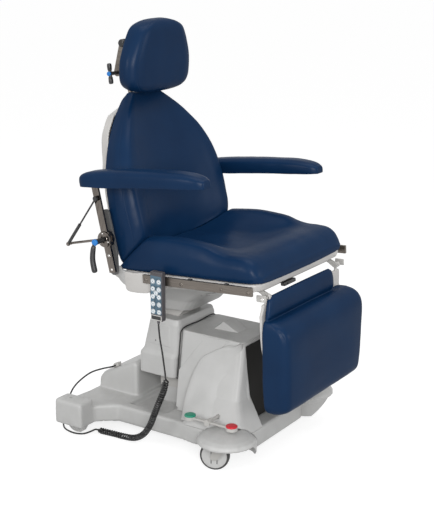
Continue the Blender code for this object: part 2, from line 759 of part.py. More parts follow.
def build_lift():
    """Moving column with its tilt yoke, and the two-tier cover round it."""
    inner_x = MAST_HALF_X + SLIDE
    inner_y = MAST_HALF_Y + SLIDE
    outer_x = inner_x + COLUMN_WALL
    outer_y = inner_y + COLUMN_WALL
    column = box((-outer_x, -outer_y, COLUMN_BOTTOM), (outer_x, outer_y, COLUMN_TOP))
    pin_y = TILT_Y - COLUMN_Y
    foot = COVER_TOP + 0.004
    lug = [(-outer_y, foot), (outer_y - 0.02, foot), (0.0, TILT_Z + 0.01),
           (pin_y + 0.010, TILT_Z + 0.022), (pin_y - 0.012, TILT_Z + 0.020), (pin_y - 0.022, TILT_Z),
           (pin_y - 0.012, TILT_Z - 0.020)]
    yoke = YOKE_INNER + YOKE_THICK
    pieces = [rod((-yoke, pin_y, TILT_Z), (yoke, pin_y, TILT_Z), TILT_PIN, 16)]
    for low in (-YOKE_INNER - YOKE_THICK, YOKE_INNER):
        pieces.append(prism(lug, low, low + YOKE_THICK, "X"))
    bore = box((-inner_x, -inner_y, COLUMN_BOTTOM - 0.01), (inner_x, inner_y, COLUMN_TOP - COLUMN_WALL))
    part(join(cut(column, bore), *pieces), "lift_column", "frame_paint", "carriage")

    wall = COVER_WALL
    tiers = [(COVER_BOTTOM, 0.130, 0.094, -0.066), (COVER_STEP - 0.006, 0.130, 0.092, -0.070),
             (COVER_STEP + 0.010, 0.122, 0.081, -0.076), (COVER_TOP - 0.02, 0.118, 0.057, -0.076),
             (COVER_TOP, 0.112, 0.053, -0.072)]
    rings = [level(rounded(half, rear, front, 0.02), height) for height, half, rear, front in tiers]
    inside = [level(rounded(half - wall, rear - wall, front + wall, 0.016), height)
              for height, half, rear, front in reversed(tiers[:-1])]
    collar = [level(rounded(outer_x + GAP, outer_y + GAP, -outer_y - GAP, GAP), COVER_TOP - drop)
              for drop in (0.0, wall)]
    cover = loft(rings + collar + inside)
    form = bmesh.new()
    form.from_mesh(cover.data)
    caps = [face for face in form.faces if len(face.verts) > 4]
    bmesh.ops.delete(form, geom=caps, context="FACES_ONLY")
    rims = [edge for edge in form.edges if edge.is_boundary]
    bmesh.ops.bridge_loops(form, edges=rims)
    bmesh.ops.recalc_face_normals(form, faces=form.faces)
    form.to_mesh(cover.data)
    form.free()
    part(cover, "column_cover", "base_grey", "carriage")


def lip(y):
    """Height of the seat shell's lower edge, which drops towards the rear."""
    share = (y - SEAT_FRONT) / (SEAT_REAR - SEAT_FRONT)
    return SHELL_LIP_FRONT + share * (SHELL_LIP_REAR - SHELL_LIP_FRONT)


def seat_plan(inset):
    """Plan of the seat shell, drawn in by an inset."""
    return rounded(HALF_SEAT - inset, SEAT_REAR - inset, SEAT_FRONT + inset, SEAT_CORNER - inset / 2, 4)


def build_seat_frame():
    """Seat shell, steel frame, recline drive and the tapered hull under the seat."""
    ceiling = SHELL_TOP - SHELL_WALL
    shell = loft([
        level(seat_plan(0.004), SHELL_TOP), level(seat_plan(0.0), SHELL_TOP - 0.005),
        [(x, y, lip(y)) for x, y in seat_plan(0.006)],
        [(x, y, lip(y)) for x, y in seat_plan(0.006 + SHELL_WALL)],
        level(seat_plan(SHELL_WALL), ceiling),
    ])
    cross_rear = SEAT_REAR - 0.015
    beam_top = ceiling - GAP
    beam_low = beam_top - SEAT_BEAM
    notch = box((-1, cross_rear - SEAT_CROSS - GAP, 0.0), (1, cross_rear + GAP, beam_top - 0.004 + GAP))
    part(cut(shell, notch), "seat_shell", "shell_white", "seat")

    half_beam = SEAT_BEAM / 2
    front = SEAT_FRONT + 0.022
    ear_out = EAR_IN + EAR_THICK
    frame = box((-ear_out, cross_rear - SEAT_CROSS, beam_low), (ear_out, cross_rear, beam_top - 0.004))
    pieces = [box((-SEAT_BEAM_X, front, beam_low), (SEAT_BEAM_X, front + SEAT_CROSS, beam_top)),
              box((-SEAT_BEAM_X, -SEAT_CROSS / 2, beam_low), (SEAT_BEAM_X, SEAT_CROSS / 2, beam_top))]
    ear = [(cross_rear - SEAT_CROSS, beam_low), (cross_rear, beam_low)]
    ear += [(RECLINE_Y + 0.018 * cos(a), RECLINE_Z + 0.018 * sin(a)) for a in (-0.9, -0.3, 0.3, 0.9, 1.6,
                                                                               2.2)]
    trunnion = [(-0.030, beam_low + 0.002), (-0.018, -0.012), (-0.008, -0.021), (0.008, -0.021),
                (0.018, -0.012), (0.030, beam_low + 0.002)]
    for side in SIDES.values():
        pieces.append(box((side * SEAT_BEAM_X * 0.36 - half_beam * 0.8, front + 0.004, beam_low + 0.002),
                          (side * SEAT_BEAM_X * 0.36 + half_beam * 0.8, cross_rear - 0.004,
                           beam_top - 0.006)))
        pieces.append(box((side * SEAT_BEAM_X - half_beam, front, beam_low),
                          (side * SEAT_BEAM_X + half_beam, cross_rear, beam_top)))
        low, high = sorted((side * EAR_IN, side * (EAR_IN + EAR_THICK)))
        pieces.append(prism(ear, low, high, "X"))
        low, high = sorted((side * (YOKE_INNER - GAP - 0.009), side * (YOKE_INNER - GAP)))
        pieces.append(prism(trunnion, low, high, "X"))
        low, high = sorted((side * SEAT_BEAM_X, side * (SEAT_BEAM_X + LEG_LUG)))
        lug = [(front + 0.02, beam_low + 0.004), (front, beam_low + 0.006),
               (LEG_HINGE_Y - 0.008, LEG_HINGE_Z + 0.006),
               (LEG_HINGE_Y - 0.006, LEG_HINGE_Z - 0.008), (LEG_HINGE_Y + 0.006, LEG_HINGE_Z - 0.009)]
        pieces.append(prism(lug, low, high, "X"))
        high = side * (SEAT_BEAM_X + LEG_LUG)
        pieces.append(rod((high - side * 0.004, LEG_HINGE_Y, LEG_HINGE_Z),
                          (high + side * 0.014, LEG_HINGE_Y, LEG_HINGE_Z), LEG_PIN))
        pin = side * (EAR_IN + EAR_THICK)
        pieces.append(rod((pin - side * 0.003, RECLINE_Y, RECLINE_Z),
                          (pin + side * BACK_PLATE, RECLINE_Y, RECLINE_Z), RECLINE_PIN))
    join(frame, *pieces)
    cut(frame, rod((-0.1, 0, 0), (0.1, 0, 0), TILT_PIN + RUN, 16))
    part(frame, "seat_frame", "frame_paint", "seat")

    drive = join(rod((0.105, -0.10, beam_low - 0.026), (0.105, 0.085, beam_low - 0.026), 0.019, 14),
                 soften(box((0.085, -0.115, beam_low - 0.048), (0.145, -0.060, beam_low - 0.006)), 0.006, 1),
                 box((0.097, -0.010, beam_low - 0.03), (0.113, 0.010, beam_low - GAP)))
    part(drive, "recline_actuator", "black_plastic", "seat")

    tiers = [(beam_low - GAP, 0.200, 0.104, -0.235), (0.070, 0.196, 0.106, -0.215),
             (0.040, 0.165, 0.124, -0.135), (0.0, 0.132, 0.144, -0.060), (HULL_DROP, 0.112, 0.150, -0.022)]
    rings = [level(rounded(half, rear, ahead, 0.04, 4), height) for height, half, rear, ahead in tiers]
    inside = [level(rounded(half - HULL_WALL, rear - HULL_WALL, ahead + HULL_WALL, 0.037, 4), height)
              for height, half, rear, ahead in reversed(tiers)]
    part(ring_shell(rings + inside), "seat_hull", "base_grey", "seat")


def ring_shell(rings):
    """Skin rings that run down the outside and up the inside of an open shell."""
    form = bmesh.new()
    rows = [[form.verts.new(point) for point in ring] for ring in rings]
    count = len(rows[0])
    for first, second in zip(rows, rows[1:] + rows[:1]):
        for i in range(count):
            j = (i + 1) % count
            form.faces.new((first[i], first[j], second[j], second[i]))
    return mesh_piece(form)


def build_seat_pad():
    """Seat cushion: rolled front, side bolsters, a hollow centre and a sloped rear face."""
    floor = PAD_SEAT
    centre = [(0.0, 0.022), (0.03, 0.052), (0.09, 0.069), (0.18, 0.076), (0.30, 0.072), (0.42, 0.060),
              (0.80, 0.064), (1.0, SEAT_CENTRE_RISE)]
    bolster = [(0.0, 0.022), (0.03, 0.052), (0.09, 0.071), (0.25, 0.088), (0.50, 0.106),
               (0.80, SEAT_BOLSTER_RISE), (1.0, SEAT_BOLSTER_RISE - 0.004)]
    width = [(0.0, 0.88), (0.02, 0.93), (0.06, 0.975), (0.12, 1.0), (0.94, 1.0), (1.0, 0.985)]
    rings = []
    for share in (0.0, 0.02, 0.05, 0.10, 0.18, 0.27, 0.36, 0.46, 0.60, 0.75, 0.88, 0.97, 1.0):
        half = HALF_SEAT * blend(width, share)
        mid = floor + blend(centre, share)
        side = floor + blend(bolster, share)
        section = [(0.0, mid), (0.34 * half, mid + 0.001), (0.58 * half, mid + 0.42 * (side - mid)),
                   (0.80 * half, side), (0.92 * half, side - 0.004), (0.985 * half,
                                                                      floor + 0.66 * (side - floor)), (half, floor + 0.020),
                   (0.985 * half, floor + 0.004), (0.95 * half, floor)]
        ring = []
        for x, z in mirrored(section):
            rear = RECLINE_Y - 0.012 - SOFT_GAP - (z - floor - 0.015) * 1.07
            front = SEAT_FRONT - 0.002
            ring.append((x, front + share * (rear - front), z))
        rings.append(ring)
    part(loft(rings), "seat_pad", "navy_vinyl", "seat")


def build_rails():
    """Flat accessory rails on stand-off posts along both sides of the seat."""
    for name, side in SIDES.items():
        low, high = sorted((side * (RAIL_OUT - RAIL_THICK), side * RAIL_OUT))
        rail = soften(box((low, RAIL_FRONT, RAIL_LEVEL - RAIL_HEIGHT / 2),
                          (high, RAIL_FRONT + RAIL_LENGTH, RAIL_LEVEL + RAIL_HEIGHT / 2)), 0.001, 1)
        posts = []
        for y in (RAIL_FRONT + 0.07, RAIL_FRONT + 0.23, RAIL_FRONT + RAIL_LENGTH - 0.02):
            posts.append(rod((side * (HALF_SEAT + GAP), y, SHELL_TOP - 0.013),
                             (side * (RAIL_OUT - RAIL_THICK / 2), y, SHELL_TOP - 0.013), RAIL_POST))
        part(join(rail, *posts), "rail_" + name, "brushed_steel", "seat")


def button_places():
    """Places (y, z) of the handset's round keys: five rows of two and one between."""
    places = []
    for row in range(5):
        for column in (-0.5, 0.5):
            places.append((column * BUTTON_PITCH_Y, BUTTON_ROW_TOP - row * BUTTON_PITCH_Z))
    places.append((0.0, BUTTON_ROW_TOP - 1.5 * BUTTON_PITCH_Z))
    return places


def build_handset():
    """Handset hooked over the right rail, with its travelling keys."""
    back = -GAP - 0.001
    face = back - HANDSET_THICK
    half = HANDSET_WIDTH / 2
    case = soften(box((face, -half, -HANDSET_DROP), (back, half, HANDSET_RISE)), 0.004)
    hook_low = RAIL_HEIGHT / 2 + 0.0015
    lip_in = RAIL_THICK + 0.001
    hook_half = HOOK_WIDTH / 2
    corner = (lip_in + HOOK_WALL, hook_half, hook_low + 0.005)
    hook = join(box((back - 0.002, -hook_half, hook_low), corner), box((lip_in, -hook_half, -0.002), corner))
    relief = rod((face / 2, 0, -HANDSET_DROP + 0.001), (face / 2, 0, -HANDSET_DROP - 0.012), 0.0055, 10,
                 0.0040)
    join(case, hook, relief)
    pockets = []
    for y, z in button_places():
        pockets.append(rod((face - 0.01, y, z), (face + BUTTON_DEPTH, y, z), BUTTON_RADIUS + GAP, 12))
    part(cut(case, *pockets), "handset", "handset_grey", "handset")
    for index, (y, z) in enumerate(button_places(), 1):
        name = f"handset_button_{index:02d}"
        body(name, "handset", (face, y, z))
        key = rod((BUTTON_DEPTH - 0.0015, 0, 0), (-BUTTON_PROUD, 0, 0), BUTTON_RADIUS, 12,
                  BUTTON_RADIUS - 0.0006)
        part(key, name, "button_white", name)


def build_leg():
    """Leg panel with its hinge knuckles, and the stepped leg cushion."""
    rings = []
    for height, spread in ((LEG_BOTTOM + 0.012, 0.885), (LEG_BOTTOM + 0.060, 0.95), (LEG_CREASE - 0.042, 1.0),
                           (LEG_TOP - 0.004, 1.0)):
        half = LEG_HALF * spread
        rings.append([(-half, LEG_PANEL_SET, height), (half, LEG_PANEL_SET, height),
                      (half, LEG_PANEL_SET + LEG_PANEL, height), (-half, LEG_PANEL_SET + LEG_PANEL, height)])
    panel = soften(loft(rings), 0.003, 1, 60)
    knuckles = []
    bores = []
    for side in SIDES.values():
        low, high = sorted((side * (SEAT_BEAM_X + LEG_LUG + GAP), side * (SEAT_BEAM_X + 2 * LEG_LUG + GAP)))
        ear = [(LEG_PANEL_SET + 0.001, LEG_TOP - 0.05), (LEG_PANEL_SET + 0.008, LEG_TOP - 0.05),
               (0.011, 0.002), (0.006, 0.010), (-0.006, 0.010), (-0.011, 0.002), (-0.009, -0.006),
               (LEG_PANEL_SET, LEG_TOP + 0.004)]
        knuckles.append(prism(ear, low, high, "X"))
        bores.append(rod((low - 0.02, 0, 0), (high + 0.02, 0, 0), LEG_PIN + RUN))
    join(panel, *knuckles)
    part(cut(panel, *bores), "leg_panel", "shell_white", "leg")

    rest = LEG_PANEL_SET - GAP
    profile = [(LEG_TOP, 0.008, 0.90), (LEG_TOP - 0.006, 0.013, 0.925),
               (LEG_TOP - 0.022, LEG_STRIP_DEPTH, 0.93), (LEG_CREASE + 0.014, LEG_STRIP_DEPTH, 0.93),
               (LEG_CREASE, LEG_STRIP_DEPTH - 0.004, 0.93),
               (LEG_CREASE - 0.003, 0.036, 0.985), (LEG_CREASE - 0.016, 0.066, 1.015),
               (LEG_CREASE - 0.042, LEG_PAD_DEPTH, 1.03), (LEG_CREASE - 0.130, LEG_PAD_DEPTH, 1.01),
               (LEG_BOTTOM + 0.060, LEG_PAD_DEPTH - 0.003, 0.975),
               (LEG_BOTTOM + 0.022, LEG_PAD_DEPTH - 0.012, 0.955), (LEG_BOTTOM + 0.006, 0.050, 0.925),
               (LEG_BOTTOM, 0.030, 0.89)]
    rings = []
    for height, depth, spread in profile:
        half = LEG_HALF * spread
        section = [(0.0, -depth), (half - 0.050, -depth), (half - 0.016, -depth * 0.94),
                   (half - 0.003, -depth * 0.76), (half, -depth * 0.40), (half - 0.004, rest - 0.002),
                   (half - 0.012, rest)]
        rings.append([(x, y, height) for x, y in mirrored(section)])
    part(loft(rings), "leg_pad", "navy_vinyl", "leg")


def back_half(height):
    """Half width of the back cushion at a height."""
    knots = [(0.0, 0.274), (0.04, HALF_SEAT - 0.003), (0.15, HALF_SEAT), (0.28, 0.272), (0.37, 0.245),
             (0.45, 0.200), (0.52, 0.140), (BACK_HEIGHT, 0.082)]
    return blend(knots, height)


def build_back():
    """Back cushion with wings, the rear shell and the steel frame with its arm plates."""
    wing = [(0.0, -0.122), (0.06, -0.130), (0.16, -0.130), (0.35, -0.122), (0.47, -0.095),
            (BACK_HEIGHT, -0.052)]
    centre = [(0.0, -0.068), (0.30, -0.066), (0.50, -0.060), (BACK_HEIGHT, -0.044)]
    shares = (0.0, 0.02, 0.08, 0.17, 0.28, 0.40, 0.51, 0.61, 0.70, 0.78, 0.86, 0.93, 0.975, 1.0)
    rings = []
    for share in shares:
        at = share * BACK_HEIGHT
        half = back_half(at) * (0.985 if share == 0.0 else 1.0)
        front, mid = blend(wing, at), blend(centre, at)
        rear = BACK_REST - (0.008 if share == 1.0 else 0.0)
        section = [(0.0, mid), (0.34 * half, mid - 0.001), (0.60 * half, mid + 0.36 * (front - mid)),
                   (0.82 * half, front + 0.008), (0.92 * half, front), (0.975 * half,
                                                                        front + 0.10 * (rear - front)),
                   (half, front + 0.34 * (rear - front)), (half, front + 0.74 * (rear - front)),
                   (0.985 * half, rear - 0.004), (0.94 * half, rear)]
        ring = []
        for x, y in mirrored(section):
            foot = 0.006 - BACK_SLOPE * y
            ring.append((x, y, foot + share * (BACK_HEIGHT - foot)))
        rings.append(ring)
    part(loft(rings), "back_pad", "navy_vinyl", "back")

    front = BACK_REST + GAP
    rings = []
    inside = []
    deep = BACK_SHELL_DEPTH
    levels = [(0.022, 0.012), (0.045, 0.030), (0.12, 0.034), (0.24, 0.040), (SOCKET_FOOT - 0.008, deep),
              (SOCKET_TOP - 0.06, deep), (SOCKET_TOP - 0.005, deep), (BACK_SHELL_TOP, 0.034)]
    for index, (height, depth) in enumerate(levels):
        half = back_half(height) - BACK_SHELL_INSET - (0.03 if index == len(levels) - 1 else 0.0)
        rings.append([(half, front, height), (half - 0.006, front + 0.7 * depth, height),
                      (half - 0.03, front + depth, height), (-half + 0.03, front + depth, height),
                      (-half + 0.006, front + 0.7 * depth, height), (-half, front, height)])
    wall = SHELL_WALL
    for index, (height, depth) in enumerate(levels[1:-1]):
        half = back_half(height) - BACK_SHELL_INSET - wall
        room = depth - wall
        high = height + (wall if index == 0 else -wall if index == len(levels) - 3 else 0.0)
        inside.append([(half, front - 0.01, high), (half - 0.006, front + 0.7 * room, high),
                       (half - 0.03, front + room, high), (-half + 0.03, front + room, high),
                       (-half + 0.006, front + 0.7 * room, high), (-half, front - 0.01, high)])
    bar_rear = front + BACK_BAR
    slots = [box((-1, front - 0.01, low - GAP), (1, bar_rear + GAP, low + BACK_BAR + GAP))
             for low in (BACK_BAR_LOW, BACK_BAR_HIGH)]
    slots.append(rod((0, POST_SET, SOCKET_TOP - 0.05), (0, POST_SET, BACK_SHELL_TOP + 0.05),
                     POST_RADIUS + SLIDE, 16))
    part(cut(loft(rings), loft(inside), *slots), "back_shell", "shell_white", "back")

    out = PLATE_IN + BACK_PLATE
    frame = box((-out, front, BACK_BAR_LOW), (out, bar_rear, BACK_BAR_LOW + BACK_BAR))
    pieces = [box((-out, front, BACK_BAR_HIGH), (out, bar_rear, BACK_BAR_HIGH + BACK_BAR)),
              box((-0.022, front, BACK_BAR_LOW + 0.002), (0.022, front + 0.010, SOCKET_TOP - 0.03)),
              rod((0, POST_SET, SOCKET_FOOT), (0, POST_SET, SOCKET_TOP - 0.02),
                  POST_RADIUS + SOCKET_WALL, 16),
              box((-0.010, front, SOCKET_FOOT), (0.010, POST_SET, SOCKET_TOP - 0.03))]
    plate = [(0.018 * cos(a), 0.018 * sin(a)) for a in (3.4, 3.9, 4.5, 5.1, 5.7, 6.3)]
    plate += [(bar_rear, BACK_BAR_LOW), (bar_rear, BACK_PLATE_TOP - 0.01), (bar_rear - 0.008, BACK_PLATE_TOP),
              (-0.022, BACK_PLATE_TOP), (-0.030, BACK_PLATE_TOP - 0.01), (-0.030, BACK_BAR_LOW)]
    for side in SIDES.values():
        low, high = sorted((side * PLATE_IN, side * out))
        pieces.append(prism(plate, low, high, "X"))
    join(frame, *pieces)
    tools = [rod((0, POST_SET, SOCKET_FOOT - 0.01), (0, POST_SET, SOCKET_TOP), POST_RADIUS + RUN, 16)]
    for side in SIDES.values():
        tools.append(rod((side * (PLATE_IN - 0.01), 0, 0), (side * (out + 0.01), 0, 0), RECLINE_PIN + RUN))
    part(cut(frame, *tools), "back_frame", "frame_paint", "back")


def build_head():
    """Headrest: sliding post, link with two axles, bracket, cushion and T handle."""
    drop = SOCKET_TOP
    low = Vector((0.0, HEAD_LOW_Y - POST_SET, HEAD_LOW_Z - drop))
    half = HEAD_BLOCK_HALF
    post = rod((0, 0, POST_FOOT - drop), (0, 0, low.z), POST_RADIUS, 16)
    block = rod(low - Vector((half, 0, 0)), low + Vector((half, 0, 0)), HEAD_BLOCK_RADIUS, 16)
    part(join(post, block), "head_post", "brushed_steel", "head_post")

    high = Vector((0.0, HEAD_HIGH_Y - HEAD_LOW_Y, HEAD_HIGH_Z - HEAD_LOW_Z))
    inner = half + GAP
    outer = inner + HEAD_LINK_THICK
    stop = outer - HEAD_LINK_THICK / 2
    axle = rod(high - Vector((stop, 0, 0)), high + Vector((stop, 0, 0)), HEAD_AXLE, 16)
    pieces = []
    lean = atan2(high.z, high.y)
    plate = [(0.013 * cos(lean + a), 0.013 * sin(lean + a))
             for a in (1.571, 2.1, 2.6, 3.142, 3.7, 4.2, 4.712)]
    plate += [(high.y + 0.012 * cos(lean + a), high.z + 0.012 * sin(lean + a))
              for a in (-1.571, -1.05, -0.5, 0.0, 0.5, 1.05, 1.571)]
    for side in SIDES.values():
        near, far = sorted((side * inner, side * outer))
        pieces.append(prism(plate, near, far, "X"))
    part(join(axle, *pieces), "head_link", "brushed_steel", "head_link")

    rear = HEAD_FRONT + HEAD_DEPTH
    sleeve = half - 0.002
    bracket = rod((-sleeve, 0, 0), (sleeve, 0, 0), 0.014, 16)
    join(bracket, box((-sleeve + 0.004, rear + GAP, -0.045), (sleeve - 0.004, rear + 0.006, 0.045)),
         box((-sleeve + 0.008, rear + 0.004, -0.008), (sleeve - 0.008, 0.0, 0.008)))
    cut(bracket, rod((-0.1, 0, 0), (0.1, 0, 0), HEAD_AXLE + RUN, 16))
    part(bracket, "head_bracket", "black_plastic", "head")

    width = [(0.0, 0.085), (0.03, 0.118), (0.10, 0.146), (0.25, 0.160), (0.42, 0.160), (0.62, 0.152),
             (0.80, 0.134), (0.92, 0.104), (0.97, 0.078), (1.0, 0.048)]
    deep = [(0.0, 0.55), (0.04, 0.80), (0.14, 1.0), (0.80, 1.0), (0.94, 0.84), (1.0, 0.55)]
    rings = []
    for share in (0.0, 0.025, 0.07, 0.15, 0.28, 0.45, 0.62, 0.76, 0.87, 0.95, 1.0):
        wide = blend(width, share)
        front = rear - HEAD_DEPTH * blend(deep, share)
        back = rear - 0.5 * HEAD_DEPTH * (1 - blend(deep, share))
        section = [(0.0, front), (0.45 * wide, front + 0.001), (0.76 * wide, front + 0.006),
                   (0.93 * wide, front + 0.3 * (back - front)), (wide, front + 0.58 * (back - front)),
                   (0.95 * wide, back - 0.006), (0.84 * wide, back)]
        height = HEAD_FOOT + share * (HEAD_TOP - HEAD_FOOT)
        rings.append([(x, y, height) for x, y in mirrored(section)])
    part(loft(rings), "head_pad", "navy_vinyl", "head")

    body("head_handle", "head_link", (-outer - GAP, 0.0, 0.0))
    handle = rod((0, 0, 0), (-HANDLE_STEM, 0, 0), HANDLE_RADIUS, 12, HANDLE_RADIUS * 1.2)
    reach = HANDLE_LENGTH / 2
    grip = rod((-HANDLE_STEM, 0.004, -reach), (-HANDLE_STEM, -0.004, reach), HANDLE_RADIUS)
    part(join(handle, grip), "head_handle", "black_plastic", "head_handle")


def strut_line(name):
    """Lower ball and upper pin of a gas strut, from the clamp hub."""
    ball_end = Vector((0.0, OUTRIGGER, 0.0))
    pin = Vector((0.0, BAR_SET, STRUT_PIN_Z + ARM_HEIGHT[name]))
    return ball_end, pin


def build_arm(name, side):
    """One armrest: hub clamp, lever, sliding bar, pad and gas strut."""
    def across(low, high):
        return sorted((side * low, side * high))

    strut_x = side * (BAR_OUT + STRUT_OFFSET)
    half = BAR_WIDTH / 2
    near, far = across(CLAMP_IN, CLAMP_IN + HUB_THICK)
    clamp = rod((near, 0, 0), (far, 0, 0), HUB_RADIUS, 24)
    pieces = []
    near, far = across(CLAMP_IN + 0.004, BAR_OUT + GAP)
    for edge in (-1, 1):
        face = BAR_SET + edge * (half + GAP)
        low_y, high_y = sorted((face, face + edge * GUIDE_WALL))
        pieces.append(box((near, low_y, -GUIDE_HALF), (far, high_y, GUIDE_HALF)))
    ball_end, pin = strut_line(name)
    ball_end.x = pin.x = strut_x
    inset = Vector((side * OUTRIGGER_INSET, 0.0, 0.0))
    root = Vector((strut_x, BAR_SET + half + GAP + 0.002, 0.0)) - inset
    pieces.append(rod(root, ball_end - inset, OUTRIGGER_RADIUS, 10))
    pieces.append(ball(ball_end - inset, (0.006, 0.006, 0.006), 10, 6))
    pieces.append(rod(ball_end - inset, ball_end, 0.0035, 10))
    pieces.append(ball(ball_end, (0.0075, 0.0075, 0.0075), 10, 6))
    part(join(clamp, *pieces), "arm_clamp_" + name, "brushed_steel", "clamp_" + name)

    body("lever_" + name, "clamp_" + name, (side * (BAR_OUT + GAP), 0.0, 0.0))
    lever = rod((0, 0, 0), (side * LEVER_BOSS, 0, 0), 0.008, 14, 0.010)
    bend = [(side * (LEVER_BOSS - 0.004), 0.0, 0.004), (side * (LEVER_BOSS + 0.002), 0.010, -0.020),
            (side * (LEVER_BOSS + 0.007), 0.018, -0.055), (side * (LEVER_BOSS + 0.009), 0.018, -LEVER_REACH)]
    arm = tube(smooth(bend, 0.016), 0.0065, 1, "arm")
    part(join(lever, solid_tube(arm)), "arm_lever_" + name, "black_plastic", "lever_" + name)

    near, far = across(BAR_IN, BAR_OUT)
    bar = box((near, -half, BAR_FOOT), (far, half, BAR_TOP - 0.75 * ARM_TAB))
    pin_z = STRUT_PIN_Z
    reach = sorted((side * (BAR_IN + 0.002), side * (BAR_OUT + STRUT_OFFSET - STRUT_EYE - GAP)))
    pin_bar = rod((reach[0], 0, pin_z), (reach[1], 0, pin_z), STRUT_PIN_RADIUS)
    low, high = across(BAR_IN - 0.002, ARM_PAD_X + 0.026)
    tab = box((low, -0.130, -ARM_TAB), (high, 0.014, 0.0))
    lean = Matrix.Translation((0, 0, BAR_TOP)) @ Matrix.Rotation(ARM_PAD_RISE, 4, "X")
    tab.data.transform(lean)
    part(join(bar, pin_bar, tab), "arm_bar_" + name, "brushed_steel", "bar_" + name)

    wide = [(0.0, 0.28), (0.02, 0.55), (0.07, 0.86), (0.20, 1.0), (0.80, 1.0), (0.92, 0.84), (0.98, 0.52),
            (1.0, 0.26)]
    tall = [(0.0, 0.40), (0.03, 0.66), (0.20, 0.95), (0.50, 1.0), (0.80, 0.93), (0.94, 0.66), (1.0, 0.36)]
    rings = []
    for share in (0.0, 0.015, 0.05, 0.12, 0.25, 0.45, 0.65, 0.80, 0.90, 0.96, 0.99, 1.0):
        spread = ARM_PAD_HALF * blend(wide, share)
        rise = ARM_PAD_HEIGHT * blend(tall, share)
        y = ARM_PAD_REAR + share * (ARM_PAD_FRONT - ARM_PAD_REAR)
        section = [(0.0, rise), (0.55 * spread, 0.95 * rise), (0.90 * spread, 0.72 * rise), (spread,
                                                                                             0.42 * rise),
                   (0.93 * spread, 0.12 * rise + GAP), (0.80 * spread, GAP)]
        rings.append([(x + side * ARM_PAD_X, y, z) for x, z in mirrored(section)])
    pad = loft(rings)
    pad.data.transform(lean)
    part(pad, "arm_pad_" + name, "navy_vinyl", "bar_" + name)

    along = (pin - ball_end).normalized()
    body("sleeve_" + name, "clamp_" + name, (0.0, ball_end.y, ball_end.z))
    shift = Vector((0.0, ball_end.y, ball_end.z))
    start = ball_end + along * 0.0082 - shift
    end = start + along * SLEEVE_LENGTH
    sleeve = rod(start, end, SLEEVE_RADIUS, 12)
    bore = rod(start + along * 0.006, end + along * 0.01, STRUT_ROD + RUN, 12)
    part(cut(sleeve, bore), "strut_sleeve_" + name, "black_plastic", "sleeve_" + name)
    body("rod_" + name, "sleeve_" + name)
    top = pin - shift
    shortest = hypot(OUTRIGGER - BAR_SET, STRUT_PIN_Z + ARM_LOWEST)
    inner = STRUT_ROOM + (pin - ball_end).length - shortest
    thin = join(rod(along * inner + Vector((strut_x, 0, 0)), top - along * 0.007, STRUT_ROD, 10),
                rod(top - Vector((STRUT_EYE, 0, 0)), top + Vector((STRUT_EYE, 0, 0)), 0.0085, 14))
    part(thin, "strut_rod_" + name, "black_plastic", "rod_" + name)


def solid_tube(curve):
    """Turn a curve tube into a mesh with its caps welded."""
    graph = bpy.context.evaluated_depsgraph_get()
    mesh = bpy.data.meshes.new_from_object(curve.evaluated_get(graph))
    form = bmesh.new()
    form.from_mesh(mesh)
    bmesh.ops.remove_doubles(form, verts=form.verts, dist=0.00001)
    bpy.data.objects.remove(curve, do_unlink=True)
    return mesh_piece(form)


def upper_route():
    """Points of the cord from the handset down to the curls, from the plan's datum."""
    start = (WORLD["base"].inverted() @ WORLD["handset"]) @ Vector(
        ((-GAP - 0.001 - HANDSET_THICK) / 2, 0.0, -HANDSET_DROP - 0.012 - GAP))
    return [start, start + Vector((0, -0.0006, -0.015)), (-0.321, 0.001, 0.430), (-0.320, -0.006, 0.390),
            (-0.319, -0.012, 0.345), (-0.318, -0.0165, 0.3080), (-0.318, -0.0172, 0.2950)]


CURL_ROUTE = [(-0.318, -0.01725, 0.2944), (-0.318, -0.0176, 0.2860), (-0.319, -0.0080, 0.2550),
              (-0.320, 0.018, 0.212), (-0.314, 0.048, 0.160), (-0.300, 0.082, 0.103), (-0.282, 0.124,
                                                                                       0.050), (-0.268, 0.170, 0.0175),
              (-0.264, 0.212, 0.0118), (-0.266, 0.250, 0.0118), (-0.270, 0.290, 0.0118), (-0.272, 0.318,
                                                                                          0.0118)]
LOWER_ROUTE = [(-0.272, 0.3186, 0.0118), (-0.2728, 0.3290, 0.0117), (-0.279, 0.338, 0.0070), (-0.294,
                                                                                              0.345, 0.0040),
               (-0.312, 0.354, 0.0034), (-0.324, 0.378, 0.0034), (-0.322, 0.412, 0.0034), (-0.308, 0.446,
                                                                                           0.0042),
               (-0.286, 0.468, 0.0160), (-0.264, 0.476, 0.0480), (-0.246, 0.474, 0.0900), (-0.226, 0.466,
                                                                                           0.1260),
               (-0.202, 0.446, 0.1560), (-0.178, 0.420, 0.1790), (-0.154, 0.386, 0.1925),
               (-0.132, 0.364, 0.1968), (-0.1145, 0.3610, 0.1972)]


def helix(route):
    """Points of the curly cord, wound round its route, and its least gap to itself."""
    count = CURL_COUNT * CURL_POINTS
    total = sum((Vector(b) - Vector(a)).length for a, b in zip(route, route[1:]))
    line = smooth(route, total / count * 1.0)
    last = len(line) - 1
    normal = Vector((1, 0, 0))
    points = []
    for index, place in enumerate(line):
        along = (line[min(index + 1, last)] - line[max(index - 1, 0)]).normalized()
        normal = (normal - along * normal.dot(along)).normalized()
        side = along.cross(normal)
        ramp = min(1.0, max(0.0, (index - 1) / CURL_POINTS), max(0.0, (last - 1 - index) / CURL_POINTS))
        turn = 2 * pi * index / CURL_POINTS
        points.append(place + (normal * cos(turn) + side * sin(turn)) * CURL_RADIUS * ramp)
    least = min((points[i] - points[j]).length for i in range(len(points))
                for j in range(i + CURL_POINTS - 2, min(i + 2 * CURL_POINTS, len(points))))
    print("curly cord: least gap to itself %.2f mm" % ((least - 2 * CORD_RADIUS) * 1000))
    return points


